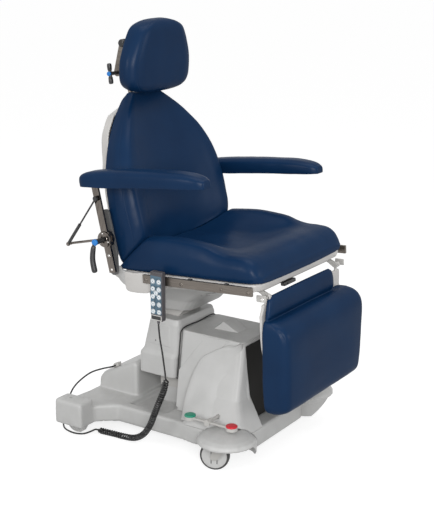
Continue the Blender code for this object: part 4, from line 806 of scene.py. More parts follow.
class Finishes:
    """The chair's finishes."""

    vinyl = Vinyl("navy_vinyl_skin", Slot.VINYL, (0.0032, 0.0205, 0.063), (0.0042, 0.025, 0.074),
                  (0.3, 0.38), 0.2, 0.0002, 0.01)
    # The base's strong edge lightening is mostly painted highlight lines along its moulded edges, with a
    # little rubbing.
    base = Moulded("base_moulding", Slot.BASE, (0.51, 0.51, 0.502), (0.555, 0.555, 0.548), (0.36, 0.44),
                   0.2, 0.0001, wear=0.6)
    # Base grey darkened by about an eighth: painted shade for the moulding under the seat and for the hinge
    # covers.
    hull = Moulded("hull_moulding_skin", Slot.BASE, (0.435, 0.433, 0.425), (0.475, 0.473, 0.465),
                   (0.38, 0.46), 0.2, 0.0001, wear=0.4)
    shell = Moulded("shell_moulding", Slot.SHELL, (0.545, 0.53, 0.512), (0.59, 0.575, 0.555), (0.34, 0.42),
                    0.15, 0.0001)
    panel = Moulded("tower_panel", Slot.PANEL, (0.014, 0.013, 0.012), (0.02, 0.019, 0.017), (0.5, 0.62),
                    0.2, 0.0001, 0.08, wear=0.1, dust=0.1)
    paint = Moulded("frame_coating", Slot.PAINT, (0.11, 0.11, 0.11), (0.14, 0.14, 0.138), (0.42, 0.55),
                    0.25, 0.00015, wear=0.5, scale=500.0)
    steel = Metal("rail_steel", Slot.STEEL, (0.115, 0.1, 0.088), (0.205, 0.185, 0.165), (0.26, 0.36), 0.1,
                  0.00005)
    bar = Metal("bar_steel", Slot.STEEL, (0.085, 0.074, 0.065), (0.23, 0.205, 0.185), (0.14, 0.24), 0.06,
                0.00005, turn=math.radians(76.5))
    chrome = Metal("screw_steel", Slot.STEEL, (0.58, 0.56, 0.54), (0.72, 0.71, 0.69), (0.12, 0.22), 0.05,
                   0.00003, along=300.0, anisotropy=0.0)
    black = Moulded("black_grip", Slot.BLACK, (0.012, 0.012, 0.013), (0.019, 0.019, 0.02), (0.32, 0.45),
                    0.25, 0.0001, wear=0.12)
    rubber = Moulded("cord_jacket", Slot.CORD, (0.004, 0.004, 0.0042), (0.0065, 0.0065, 0.0068),
                     (0.22, 0.3), 0.2, 0.00008, 0.5, wear=0.03, dust=0.04)
    tyre = Moulded("tyre_rubber", Slot.WHEEL, (0.03, 0.03, 0.031), (0.045, 0.045, 0.044), (0.55, 0.7),
                   0.3, 0.0002, wear=0.25)
    wheel = Moulded("wheel_moulding", Slot.WHEEL, (0.58, 0.58, 0.57), (0.64, 0.64, 0.63), (0.35, 0.45),
                    0.15, 0.0001)
    fitting = Moulded("grey_fitting", Slot.WHEEL, (0.47, 0.46, 0.44), (0.54, 0.53, 0.51), (0.38, 0.48),
                      0.15, 0.0001)
    handset = Moulded("handset_case", Slot.HANDSET, (0.066, 0.062, 0.068), (0.08, 0.075, 0.082),
                      (0.36, 0.46), 0.25, 0.0001, wear=0.12)
    film = Moulded("handset_film", Slot.HANDSET, (0.06, 0.125, 0.18), (0.072, 0.142, 0.2), (0.28, 0.36),
                   0.08, 0.00005, wear=0.0, dust=0.0)
    button = Moulded("button_cap", Slot.BUTTON, (0.8, 0.84, 0.87), (0.86, 0.9, 0.92), (0.28, 0.36), 0.08,
                     0.00005, wear=0.0, dust=0.0)
    mark = Moulded("button_mark", Slot.HANDSET, (0.085, 0.16, 0.22), (0.1, 0.18, 0.25), (0.4, 0.5), 0.05,
                   0.00005, wear=0.0, dust=0.0)
    green = Moulded("green_cap", Slot.WHEEL, (0.01, 0.24, 0.15), (0.014, 0.29, 0.18), (0.34, 0.44), 0.12,
                    0.0001, wear=0.15, dust=0.12)
    red = Moulded("red_cap", Slot.WHEEL, (0.56, 0.01, 0.024), (0.64, 0.014, 0.03), (0.34, 0.44), 0.12,
                  0.0001, wear=0.15, dust=0.12)
    blue = Moulded("blue_cap", Slot.BLACK, (0.012, 0.18, 0.56), (0.018, 0.22, 0.64), (0.28, 0.36), 0.08,
                   0.0001, wear=0.1, dust=0.05)
    gasket = Moulded("black_gasket", Slot.CORD, (0.01, 0.01, 0.01), (0.016, 0.016, 0.016), (0.5, 0.65),
                     0.2, 0.0001, wear=0.0)


def dress(piece: Object, finish: Finish, body: str, *nodes: str) -> Object:
    """Give a piece its finish and its body.

    Args:
        piece: The finished piece, in place.
        finish: Its finish.
        body: The body that it rides on.
        nodes: Frame nodes that it stands for.

    Returns:
        The same piece.
    """
    piece.data.materials.clear()
    piece.data.materials.append(finish.material())
    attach(piece, body)
    if nodes:
        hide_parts(*nodes)
    LOG.info("%s rides on %s", piece.name, body)
    return piece


def fitted(name: str, form: BMesh, finish: Finish, body: str,
           place: Matrix | None = None) -> Object:
    """Make a piece from a bmesh, dress it and let it ride on its body."""
    return dress(new_piece(name, form, place), finish, body)


@dataclass(frozen=True)
class Lamp:
    """A square area lamp that looks at a target."""

    name: str
    place: Triple
    target: Triple
    size: float
    power: float

    def hang(self) -> None:
        """Hang the lamp in the scene."""
        data = bpy.data.lights.new(self.name, "AREA")
        data.shape = "SQUARE"
        data.size = self.size
        data.energy = self.power
        lamp = bpy.data.objects.new(self.name, data)
        bpy.context.scene.collection.objects.link(lamp)
        lamp.location = self.place
        lamp.rotation_mode = "QUATERNION"
        lamp.rotation_quaternion = (Vector(self.place) - Vector(self.target)).to_track_quat("Z", "Y")


@dataclass(frozen=True)
class Studio:
    """Camera at the photograph's angle, soft lamps, pale floor and white surround."""

    eye: Triple = (-3.163, -2.1381, 1.699)
    azimuth: float = math.radians(-56.0)
    pitch: float = math.radians(15.5)
    focal: float = 80.86
    sensor: float = 36.0
    sight: float = 200.0
    lamps: tuple[Lamp, ...] = (
        Lamp("key", (-2.9, -2.2, 1.8), (0.0, 0.0, 0.7), 1.2, 70.0),
        Lamp("side", (-3.2, 0.9, 1.7), (0.0, 0.0, 0.6), 1.0, 20.0),
        Lamp("front", (1.2, -3.6, 1.5), (0.0, 0.0, 0.6), 1.0, 15.0),
        Lamp("top", (0.2, -0.2, 3.6), (0.0, 0.0, 0.7), 2.2, 28.0),
    )
    floor_radius: float = 45.0
    floor_sides: int = 64
    floor_tone: Triple = (0.42, 0.42, 0.42)
    floor_glow: float = 0.78
    room_light: float = 0.5

    def build(self) -> None:
        """Make the camera, the lamps, the floor and the world."""
        self.camera()
        for lamp in self.lamps:
            lamp.hang()
        self.floor()
        self.surround()
        bpy.context.scene.view_settings.view_transform = "Standard"

    def camera(self) -> None:
        """Set the camera where the photograph was taken from."""
        data = bpy.data.cameras.new("camera")
        data.lens = self.focal
        data.sensor_width = self.sensor
        data.clip_end = self.sight
        camera = bpy.data.objects.new("camera", data)
        bpy.context.scene.collection.objects.link(camera)
        back = Vector((math.sin(self.azimuth) * math.cos(self.pitch),
                       -math.cos(self.azimuth) * math.cos(self.pitch), math.sin(self.pitch)))
        camera.location = self.eye
        camera.rotation_mode = "QUATERNION"
        camera.rotation_quaternion = back.to_track_quat("Z", "Y")
        bpy.context.scene.camera = camera

    @staticmethod
    def shown(graph: Graph) -> NodeSocket:
        """Return 1 for rays that show the background and 0 for those that light the chair."""
        path = graph.add("ShaderNodeLightPath").outputs
        return graph.math("ADD", graph.math("ADD", path["Is Camera Ray"], path["Is Glossy Ray"], True),
                          path["Is Transmission Ray"], True)

    def floor(self) -> None:
        """Lay a pale floor that keeps the chair's shadow and shows white."""
        form = bmesh.new()
        bmesh.ops.create_circle(form, cap_ends=True, segments=self.floor_sides, radius=self.floor_radius)
        floor = new_piece("floor", form)
        material = bpy.data.materials.new("pale_floor")
        material.use_nodes = True
        graph = Graph(material.node_tree)
        material.node_tree.nodes.clear()
        diffuse = graph.add("ShaderNodeBsdfDiffuse", Color=self.floor_tone)
        glow = graph.add("ShaderNodeEmission", Color=WHITE)
        graph.feed(glow.inputs["Strength"], graph.math("MULTIPLY", self.shown(graph), self.floor_glow))
        both = graph.add("ShaderNodeAddShader", None, {0: diffuse.outputs[0], 1: glow.outputs[0]})
        graph.add("ShaderNodeOutputMaterial", Surface=both.outputs[0])
        floor.data.materials.append(material)

    def surround(self) -> None:
        """Light the room evenly and show white behind the chair."""
        world = bpy.data.worlds.new("surround")
        world.use_nodes = True
        bpy.context.scene.world = world
        graph = Graph(world.node_tree)
        world.node_tree.nodes.clear()
        sky = graph.add("ShaderNodeBackground", Color=WHITE)
        graph.feed(sky.inputs["Strength"], graph.spread(self.shown(graph), 0.0, 1.0, self.room_light))
        graph.add("ShaderNodeOutputWorld", Surface=sky.outputs[0])


@dataclass(frozen=True)
class HandsetCord:
    """The handset's cord: a straight lead, a curly part and a lead to its socket on the base."""

    diameter: float = 0.006
    step: float = 0.006
    sides: int = 12
    curl_radius: float = 0.0086
    curl_sides: int = 8
    turns: int = 54
    per_turn: int = 14
    stretch_foot: float = 0.02
    relief_end: Triple = (-0.01165, 0.0, -0.1423)
    relief_drop: Triple = (0.0, -0.0006, -0.015)
    upper: Route = (
        (-0.321, 0.001, 0.43), (-0.32, -0.006, 0.39), (-0.319, -0.012, 0.345), (-0.318, -0.0165, 0.308),
        (-0.318, -0.0172, 0.295))
    curl: Route = (
        (-0.318, -0.01725, 0.2944), (-0.318, -0.0176, 0.286), (-0.319, -0.011, 0.255),
        (-0.32, 0.008, 0.21), (-0.314, 0.034, 0.156), (-0.3, 0.066, 0.1), (-0.282, 0.11, 0.05),
        (-0.268, 0.16, 0.02), (-0.264, 0.212, 0.0118), (-0.266, 0.25, 0.0118), (-0.27, 0.29, 0.0118),
        (-0.272, 0.318, 0.0118))
    lower: Route = (
        (-0.272, 0.3186, 0.0118), (-0.2728, 0.329, 0.0117), (-0.279, 0.338, 0.007), (-0.294, 0.345, 0.004),
        (-0.312, 0.354, 0.0034), (-0.324, 0.378, 0.0034), (-0.322, 0.412, 0.0034), (-0.308, 0.446, 0.0042),
        (-0.286, 0.468, 0.016), (-0.264, 0.476, 0.048), (-0.246, 0.474, 0.09), (-0.226, 0.466, 0.126),
        (-0.202, 0.446, 0.156), (-0.178, 0.42, 0.179), (-0.154, 0.386, 0.1925), (-0.132, 0.364, 0.1968),
        (-0.1145, 0.361, 0.1972))

    @staticmethod
    def placed(route: Iterable[Triple]) -> list[Triple]:
        """Move a route from the base's plan to the chair's frame."""
        return [tuple(PLACES.base @ Vector(p)) for p in route]

    def upper_line(self) -> np.ndarray:
        """Lay the straight lead from the handset's relief.

        Returns:
            Its points.
        """
        start = PLACES.handset @ Vector(self.relief_end)
        route = [tuple(start), tuple(start + Vector(self.relief_drop))] + self.placed(self.upper)
        return spaced_route(route, self.step)

    def curl_line(self) -> np.ndarray:
        """Wind the curls round their route.

        Returns:
            Their points.
        """
        route = self.placed(self.curl)
        long = sum(math.dist(a, b) for a, b in zip(route, route[1:]))
        line = spaced_route(route, long / (self.turns * self.per_turn))
        last = len(line) - 1
        normal = Vector((1.0, 0.0, 0.0))
        points = []
        for index, place in enumerate(line):
            along = Vector(line[min(index + 1, last)] - line[max(index - 1, 0)]).normalized()
            normal = (normal - along * normal.dot(along)).normalized()
            side = along.cross(normal)
            radius = self.curl_radius * min(1.0, index / self.per_turn, (last - index) / self.per_turn)
            turn = 2 * math.pi * index / self.per_turn
            points.append(tuple(Vector(place) + (normal * math.cos(turn) + side * math.sin(turn)) * radius))
        return np.array(points)

    def run(self, name: str, line: np.ndarray, sides: int) -> Object:
        """Make one run of the cord as a tube.

        Args:
            name: Name of the piece.
            line: Points of its centreline.
            sides: Count of its sides.

        Returns:
            The piece.
        """
        form = bmesh.new()
        sweep(form, line, self.diameter / 2, sides)
        piece = new_piece(name, form)
        piece.data.materials.append(Finishes.rubber.material())
        return piece

    def declare(self, node: str) -> None:
        """Hide the frame's node that one run stands for.

        Args:
            node: The frame's node that it stands for.
        """
        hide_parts(node)

    def build(self) -> None:
        """Make the three runs; the lower one rides on the base, the upper two on no body."""
        line = self.upper_line()
        upper = self.run("cord_lead_upper", line, self.sides)
        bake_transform(upper)
        self.declare("cord_upper")
        line = self.curl_line()
        curl = self.run("cord_curls", line, self.curl_sides)
        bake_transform(curl)
        self.declare("cord_curl")
        line = spaced_route(self.placed(self.lower), self.step)
        lower = self.run("cord_lead_lower", line, self.sides)
        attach(lower, "base")
        self.declare("cord_lower")


@dataclass(frozen=True)
class Seam:
    """A sewn seam that runs along one column of a cushion, mirrored on both sides."""

    span: int
    share: float
    depth: float
    rows: Pair
    fade: float = 0.05
    columns: Row = (-0.12, -0.045, 0.0, 0.045, 0.12)
    room: float = 0.16
    profile: tuple[tuple[int, float], ...] = ((0, -1.0), (1, -0.35), (-1, -0.35))

    def sink(self, points: np.ndarray, column: int) -> None:
        """Press the seam into a cushion's grid along one column.

        Args:
            points: The grid, rows along the cushion.
            column: Index of the column.
        """
        last = len(points) - 1
        wide = points.shape[1]
        cores = points.mean(axis=1)
        for row in range(last + 1):
            share = row / last
            if share < self.rows[0] or share > self.rows[1]:
                continue
            fade = min(1.0, (share - self.rows[0]) / self.fade, (self.rows[1] - share) / self.fade)
            flow = points[row, (column + 2) % wide] - points[row, (column - 2) % wide]
            along = points[min(row + 1, last), column] - points[max(row - 1, 0), column]
            normal = np.cross(flow, along)
            normal /= max(np.linalg.norm(normal), LEAST_LENGTH)
            if np.dot(normal, points[row, column] - cores[row]) < 0:
                normal = -normal
            for offset, part in self.profile:
                points[row, (column + offset) % wide] += normal * self.depth * part * fade


@dataclass(frozen=True)
class Dart:
    """A short sewn fold in a cushion's corner."""

    line: Route
    depth: float = 0.0026
    reach: float = 0.0075
    power: float = 1.5

    def depth_at(self, spot: Vector) -> float:
        """Measure how deep the fold is.

        Args:
            spot: A point of the cushion.

        Returns:
            The depth there.
        """
        best = self.reach
        for start, end in zip(self.line, self.line[1:]):
            a = Vector(start)
            run = Vector(end) - a
            share = min(1.0, max(0.0, (spot - a).dot(run) / run.length_squared))
            best = min(best, (spot - a - run * share).length)
        return self.depth * (1 - best / self.reach) ** self.power


@dataclass
class Cushion:
    """A padded piece lofted through sections, with its seams sunk in."""

    name: str
    node: str
    body: str
    fill: float = 0.8
    across: int = 7
    along: int = 9
    seams: tuple[Seam, ...] = ()
    darts: tuple[Dart, ...] = ()
    rumple: float = 0.0007
    rumple_scales: Pair = (16.0, 47.0)
    rumple_fine: float = 0.35
    crease: float = 170.0
    noses: Pairs = ((1.0, 0.1), (0.86, 0.45), (0.5, 0.8))

    def sections(self) -> list[Ring]:
        """Return the cushion's sections in its own frame."""
        raise NotImplementedError

    def place(self) -> Matrix:
        """Return the frame that the sections are given in."""
        raise NotImplementedError

    def column_shares(self, spans: int) -> list[list[float]]:
        """Choose the shares to read in each span round a section, closer together at seams.

        Args:
            spans: Count of spans.

        Returns:
            The shares of each span.
        """
        shares = [even_shares(self.across) for _ in range(spans)]
        for seam in self.seams:
            near = [seam.share + d for d in seam.columns]
            own = [s for s in even_shares(self.across) if abs(s - seam.share) > seam.room]
            shares[seam.span] = sorted(own + near)
            mirror = spans - 1 - seam.span
            shares[mirror] = sorted({0.0} | {round(1 - s, 6) for s in shares[seam.span] if s > 0})
        return shares

    def grid(self) -> np.ndarray:
        """Loft the sections and sink the seams.

        Returns:
            The dense grid of points, rows along the cushion.
        """
        rings = self.sections()
        shares = self.column_shares(len(rings[0]))
        points = lofted(rings, shares, self.along)
        starts = np.cumsum([0] + [len(s) for s in shares])
        for seam in self.seams:
            for span in (seam.span, len(shares) - 1 - seam.span):
                goal = seam.share if span == seam.span else 1 - seam.share
                middle = starts[span] + int(np.argmin([abs(s - goal) for s in shares[span]]))
                seam.sink(points, middle)
        return self.softened(points)

    def softened(self, points: np.ndarray) -> np.ndarray:
        """Move the grid's points in and out a little, as stuffing and darts do.

        Args:
            points: The grid, rows along the cushion.

        Returns:
            The moved grid.
        """
        along = np.gradient(points, axis=0)
        round_it = np.roll(points, -1, axis=1) - np.roll(points, 1, axis=1)
        normals = np.cross(round_it, along)
        normals /= np.maximum(np.linalg.norm(normals, axis=2, keepdims=True), LEAST_LENGTH)
        out = np.einsum("ijk,ijk->i", normals, points - points.mean(axis=1, keepdims=True))
        normals *= np.where(out < 0, -1.0, 1.0)[:, None, None]
        broad, fine = self.rumple_scales
        moved = points.copy()
        for row, column in np.ndindex(points.shape[:2]):
            spot = Vector(points[row, column])
            lift = self.rumple * (noise.noise(spot * broad) + self.rumple_fine * noise.noise(spot * fine))
            for dart in self.darts:
                lift -= dart.depth_at(spot)
            moved[row, column] += normals[row, column] * lift
        return moved

    def nosed(self, ring: Ring, axis: int, push: Triple, pull: float = 0.006) -> list[Ring]:
        """Round off an end.

        Args:
            ring: The end section.
            axis: Index of the axis that the end is thin along.
            push: How far the end bulges out.
            pull: How far its sides draw in.

        Returns:
            The extra rings, outermost first.
        """
        low = min(p[axis] for p in ring)
        high = max(p[axis] for p in ring)
        middle = (low + high) / 2
        rings = []
        for out, keep in self.noses:
            made = []
            for p in ring:
                q = [p[k] + push[k] * out for k in range(3)]
                q[axis] = middle + (p[axis] - middle) * keep + push[axis] * out
                q[0] -= math.copysign(min(abs(p[0]) * 0.5, pull * (1 - keep)), p[0])
                made.append(tuple(q))
            rings.append(made)
        return rings

    def build(self) -> None:
        form = bmesh.new()
        skin(form, [[tuple(p) for p in row] for row in self.grid()])
        piece = new_piece(self.name, form, self.place(), self.crease)
        dress(piece, Finishes.vinyl, self.body, self.node)


@dataclass
class SeatCushion(Cushion):
    """Seat: rolled front, side bolsters, hollow middle and sloped rear face."""

    half: float = 0.285
    front: float = -0.417
    floor: float = 0.1358
    rear: float = 0.121

    def place(self) -> Matrix:
        """Seat frame."""
        return PLACES.seat

    def sections(self) -> list[Ring]:
        """Lay out the sections across the seat.

        Returns:
            The sections, from its front edge to its rear face.
        """
        centre = ((0.0, 0.026), (0.03, 0.056), (0.09, 0.073), (0.18, 0.078), (0.3, 0.074), (0.42, 0.066),
                  (0.8, 0.068), (1.0, 0.072))
        bolster = ((0.0, 0.026), (0.03, 0.056), (0.09, 0.075), (0.18, 0.081), (0.27, 0.083), (0.36, 0.091),
                   (0.46, 0.104), (0.6, 0.113), (0.8, 0.118), (1.0, 0.114))
        width = ((0.0, 0.9), (0.02, 0.945), (0.06, 0.985), (0.12, 1.0), (0.94, 1.0), (1.0, 0.985))
        rings = []
        for share in (0.0, 0.02, 0.05, 0.1, 0.18, 0.27, 0.36, 0.46, 0.6, 0.75, 0.88, 0.97, 1.0):
            half = self.half * eased(width, share)
            mid = self.floor + eased(centre, share)
            side = self.floor + eased(bolster, share)
            section = [(0.0, mid), (0.34 * half, mid + 0.001), (0.58 * half, mid + 0.42 * (side - mid)),
                       (0.8 * half, side), (0.92 * half, side - 0.004),
                       (0.985 * half, self.floor + 0.66 * (side - self.floor)), (half, self.floor + 0.02),
                       (0.985 * half, self.floor + 0.004), (0.95 * half, self.floor)]
            half_ring = []
            for x, z in section:
                rear = self.rear - (z - self.floor - 0.015) * 1.07
                half_ring.append((x, self.front + share * (rear - self.front), z))
            rings.append(both_halves(half_ring))
        return self.nosed(rings[0], 2, (0.0, -0.003, 0.0)) + rings


@dataclass
class BackCushion(Cushion):
    """Back: a tapered pad with forward wings and a hollow middle."""

    height: float = 0.562
    rest: float = -0.012
    slope: float = 0.65

    def place(self) -> Matrix:
        """Backrest frame."""
        return PLACES.back

    def sections(self) -> list[Ring]:
        """Lay out the sections across the back.

        Returns:
            The sections, from its foot to its top.
        """
        outline = ((0.0, 0.274), (0.04, 0.282), (0.15, 0.285), (0.28, 0.272), (0.37, 0.239), (0.45, 0.189),
                   (0.52, 0.128), (0.562, 0.08))
        wing = ((0.0, -0.12), (0.06, -0.126), (0.16, -0.124), (0.35, -0.108), (0.47, -0.082),
                (0.562, -0.05))
        centre = ((0.0, -0.07), (0.06, -0.077), (0.15, -0.085), (0.3, -0.086), (0.45, -0.074),
                  (0.562, -0.046))
        rings = []
        for share in (0.0, 0.02, 0.08, 0.17, 0.28, 0.4, 0.51, 0.61, 0.7, 0.78, 0.86, 0.93, 0.975, 1.0):
            at = share * self.height
            half = eased(outline, at) * (0.985 if share == 0.0 else 1.0)
            front = eased(wing, at)
            mid = eased(centre, at)
            rear = self.rest - (0.008 if share == 1.0 else 0.0)
            deep = rear - front
            rise = front - mid
            section = [(0.0, mid), (0.25 * half, mid + 0.07 * rise), (0.46 * half, mid + 0.3 * rise),
                       (0.64 * half, mid + 0.62 * rise), (0.79 * half, mid + 0.9 * rise),
                       (0.89 * half, front + 0.03 * deep), (0.958 * half, front + 0.18 * deep),
                       (half, front + 0.44 * deep), (half, front + 0.76 * deep), (0.985 * half, rear - 0.004),
                       (0.94 * half, rear)]
            half_ring = []
            for x, y in section:
                foot = 0.006 - self.slope * y
                half_ring.append((x, y, foot + share * (self.height - foot)))
            rings.append(both_halves(half_ring))
        return rings + list(reversed(self.nosed(rings[-1], 1, (0.0, 0.0, 0.006))))


@dataclass
class LegCushion(Cushion):
    """Leg rest: a thin strip under the hinge and a deep pad below a crease."""

    rest: float = 0.0017
    profile: tuple[Row, ...] = (
        (-0.001, 0.008, 0.224, 0.164, 0.0), (-0.006, 0.014, 0.232, 0.17, 0.0),
        (-0.02, 0.018, 0.238, 0.174, 0.0), (-0.058, 0.018, 0.248, 0.178, 0.0),
        (-0.072, 0.013, 0.251, 0.178, 0.0), (-0.075, 0.038, 0.258, 0.238, 0.0),
        (-0.09, 0.069, 0.264, 0.257, 0.001), (-0.118, 0.087, 0.268, 0.2615, 0.002),
        (-0.218, 0.087, 0.268, 0.256, 0.006), (-0.318, 0.083, 0.265, 0.246, 0.01),
        (-0.362, 0.074, 0.26, 0.24, 0.01), (-0.379, 0.052, 0.249, 0.23, 0.008),
        (-0.385, 0.032, 0.236, 0.22, 0.006))

    def place(self) -> Matrix:
        """Leg frame."""
        return PLACES.leg

    def sections(self) -> list[Ring]:
        """Lay out the sections across the leg rest.

        Returns:
            The sections, from its top to its foot.
        """
        rings = []
        for height, depth, near, far, rim in self.profile:
            ring = []
            for sign, half in ((1.0, far), (-1.0, near)):
                side = [(0.0, -depth), (half - 0.05, -depth), (half - 0.016, -depth * 0.94),
                        (half - 0.003, -depth * 0.76), (half, -depth * 0.4),
                        (half - 0.003, self.rest + rim - 0.002), (half - 0.012, self.rest + rim)]
                if sign < 0:
                    side = list(reversed(side[1:]))
                ring += [(sign * x, y, height) for x, y in side]
            rings.append(ring)
        top = self.nosed(rings[0], 1, (0.0, 0.0, 0.002), 0.003)
        foot = self.nosed(rings[-1], 1, (0.0, 0.0, -0.004), 0.008)
        return top + rings + list(reversed(foot))


@dataclass
class HeadCushion(Cushion):
    """Headrest: a rounded shield, broad below and narrow above."""

    front: float = -0.154
    depth: float = 0.079
    foot: float = -0.153
    top: float = 0.0945

    def place(self) -> Matrix:
        """Headrest frame."""
        return PLACES.head

    def sections(self) -> list[Ring]:
        """Lay out the sections across the headrest.

        Returns:
            The sections, from its foot to its top.
        """
        width = ((0.0, 0.006), (0.008, 0.06), (0.025, 0.1), (0.06, 0.133), (0.12, 0.154), (0.25, 0.168),
                 (0.42, 0.167), (0.62, 0.153), (0.78, 0.134), (0.86, 0.121), (0.91, 0.106), (0.95, 0.084),
                 (0.975, 0.062), (0.99, 0.04), (1.0, 0.006))
        deep = ((0.0, 0.06), (0.008, 0.38), (0.025, 0.6), (0.06, 0.82), (0.12, 0.97), (0.2, 1.0),
                (0.76, 1.0), (0.86, 0.965), (0.91, 0.89), (0.95, 0.76), (0.975, 0.6),
                (0.99, 0.4), (1.0, 0.06))
        middle = self.front + 0.5 * self.depth
        rings = []
        for share in (0.0, 0.008, 0.025, 0.06, 0.12, 0.2, 0.31, 0.46, 0.62, 0.75, 0.86, 0.91, 0.95, 0.975,
                      0.99, 1.0):
            wide = eased(width, share)
            thick = self.depth * eased(deep, share)
            front = middle - 0.5 * thick
            back = middle + 0.5 * thick
            section = [(0.0, front), (0.48 * wide, front + 0.01 * thick), (0.76 * wide, front + 0.04 * thick),
                       (0.92 * wide, front + 0.16 * thick), (wide, front + 0.44 * thick),
                       (0.99 * wide, front + 0.72 * thick), (0.95 * wide, back - 0.07 * thick),
                       (0.84 * wide, back)]
            height = self.foot + share * (self.top - self.foot)
            rings.append(both_halves([(x, y, height) for x, y in section]))
        return rings


@dataclass
class ArmCushion(Cushion):
    """Armrest pad: a long rounded form that tapers at both ends."""

    side: Side = Side.RIGHT
    out: float = 0.34
    half: float = 0.042
    height: float = 0.052
    rear: float = 0.026
    front: float = -0.468
    bar_top: float = 0.1895
    lip: float = 0.005
    lip_span: Pair = (0.5, 0.38)
    rise: float = math.radians(8.6)

    def place(self) -> Matrix:
        """Frame on the armrest bar's tab."""
        return PLACES.hinge(PLACES.bar(self.side), 0.0, self.bar_top, self.rise)

    def sections(self) -> list[Ring]:
        """Lay out the sections across the pad.

        Returns:
            The sections, from its rear to its front.
        """
        wide = ((0.0, 0.48), (0.02, 0.72), (0.07, 0.93), (0.2, 1.0), (0.8, 1.0), (0.92, 0.89), (0.98, 0.68),
                (1.0, 0.46))
        tall = ((0.0, 0.5), (0.03, 0.74), (0.2, 0.95), (0.5, 1.0), (0.8, 0.95), (0.94, 0.76), (1.0, 0.5))
        rings = []
        for share in (0.0, 0.015, 0.05, 0.12, 0.25, 0.45, 0.65, 0.8, 0.9, 0.96, 0.99, 1.0):
            spread = self.half * eased(wide, share)
            rise = self.height * eased(tall, share)
            y = self.rear + share * (self.front - self.rear)
            low = self.lip * ramp(share, *self.lip_span)
            section = [(0.0, rise), (0.6 * spread, 0.965 * rise), (0.92 * spread, 0.77 * rise),
                       (spread, 0.42 * rise), (0.95 * spread, 0.08 * rise), (0.9 * spread, 0.0004 - low),
                       (0.84 * spread, 0.0002 - 0.6 * low), (0.78 * spread, 0.0003)]
            rings.append(both_halves([(x, y, z) for x, z in section]))
        ends = self.nosed(rings[0], 2, (0.0, 0.002, 0.0), 0.004)
        tips = self.nosed(rings[-1], 2, (0.0, -0.002, 0.0), 0.004)
        whole = ends + rings + list(reversed(tips))
        shift = self.side.value * self.out
        return [[(p[0] + shift, p[1], p[2]) for p in ring] for ring in whole]


@dataclass(frozen=True)
class Moulding:
    """A moulded cover: the frame's form with its edges rounded as a mould leaves them."""

    name: str
    node: str
    body: str
    finish: Finish
    voxel: float = 0.0028
    passes: int = 5
    keep: float = 0.35
    soft: float = 0.5

    def place(self) -> Matrix:
        """Return the frame in which the form is drawn out."""
        return Matrix()

    def drawn(self, p: Vector) -> Vector:
        """Return where a point of the rounded form goes; a plain cover keeps it."""
        return p

    def build(self, nodes: dict[str, Object]) -> Object:
        """Round the node's form, dress it and draw it out.

        Args:
            nodes: The frame's objects by node name.

        Returns:
            The cover, which stands for its node.
        """
        mesh = nodes[self.node].data.copy()
        piece = bpy.data.objects.new(self.name, mesh)
        bpy.context.scene.collection.objects.link(piece)
        even = piece.modifiers.new("even", "REMESH")
        even.mode = "VOXEL"
        even.voxel_size = self.voxel
        soften = piece.modifiers.new("round", "SMOOTH")
        soften.iterations = self.passes
        soften.factor = self.soft
        fewer = piece.modifiers.new("fewer", "DECIMATE")
        fewer.ratio = self.keep
        graph = bpy.context.evaluated_depsgraph_get()
        piece.data = bpy.data.meshes.new_from_object(piece.evaluated_get(graph))
        piece.modifiers.clear()
        piece.data.name = self.name
        piece.data.shade_smooth()
        bpy.data.meshes.remove(mesh)
        dress(piece, self.finish, self.body, self.node)
        out = self.place()
        into = out.inverted()
        for vertex in piece.data.vertices:
            vertex.co = out @ self.drawn(into @ vertex.co)
        return piece


@dataclass(frozen=True)
class BackShell(Moulding):
    """Rear shell of the backrest, which swells out beside the upper pad."""

    swell: float = 0.016
    raised: float = 0.01
    rise: Pair = (0.33, 0.43)
    fall: Pair = (0.56, 0.505)
    flank: Pair = (0.06, 0.14)

    def place(self) -> Matrix:
        """Backrest frame."""
        return PLACES.back

    def drawn(self, p: Vector) -> Vector:
        """Swell the shoulders.

        Args:
            p: A point of the rounded form.

        Returns:
            Where it goes.
        """
        rise = ramp(p.z, *self.rise)
        fall = ramp(p.z, *self.fall)
        share = rise * rise * (3 - 2 * rise) * fall * fall * (3 - 2 * fall) * ramp(abs(p.x), *self.flank)
        p.x += math.copysign(self.swell * share, p.x)
        p.z += self.raised * share
        return p


@dataclass(frozen=True)
class BaseMoulding(Moulding):
    """Base cover, with the rims of its castor domes drawn up."""

    centre: Pair = (0.26, -0.219)
    reach: float = 0.106
    rim: float = 0.096
    crown: float = 0.138
    lift: float = 0.014
    flank: Pair = (0.188, 0.218)

    def drawn(self, p: Vector) -> Vector:
        """Draw up the rims of the domes."""
        near = math.hypot(abs(p.x) - self.centre[0], p.y - self.centre[1]) <= self.reach
        return p + Vector((0.0, 0.0, near * self.lift * ramp(p.z, self.crown, self.rim)
                           * ramp(abs(p.x), *self.flank)))


@dataclass(frozen=True)
class TowerMoulding(Moulding):
    """Tower housing with a level roof."""

    top: float = 0.3905

    def drawn(self, p: Vector) -> Vector:
        """Level the roof."""
        p.z = min(p.z, self.top)
        return p


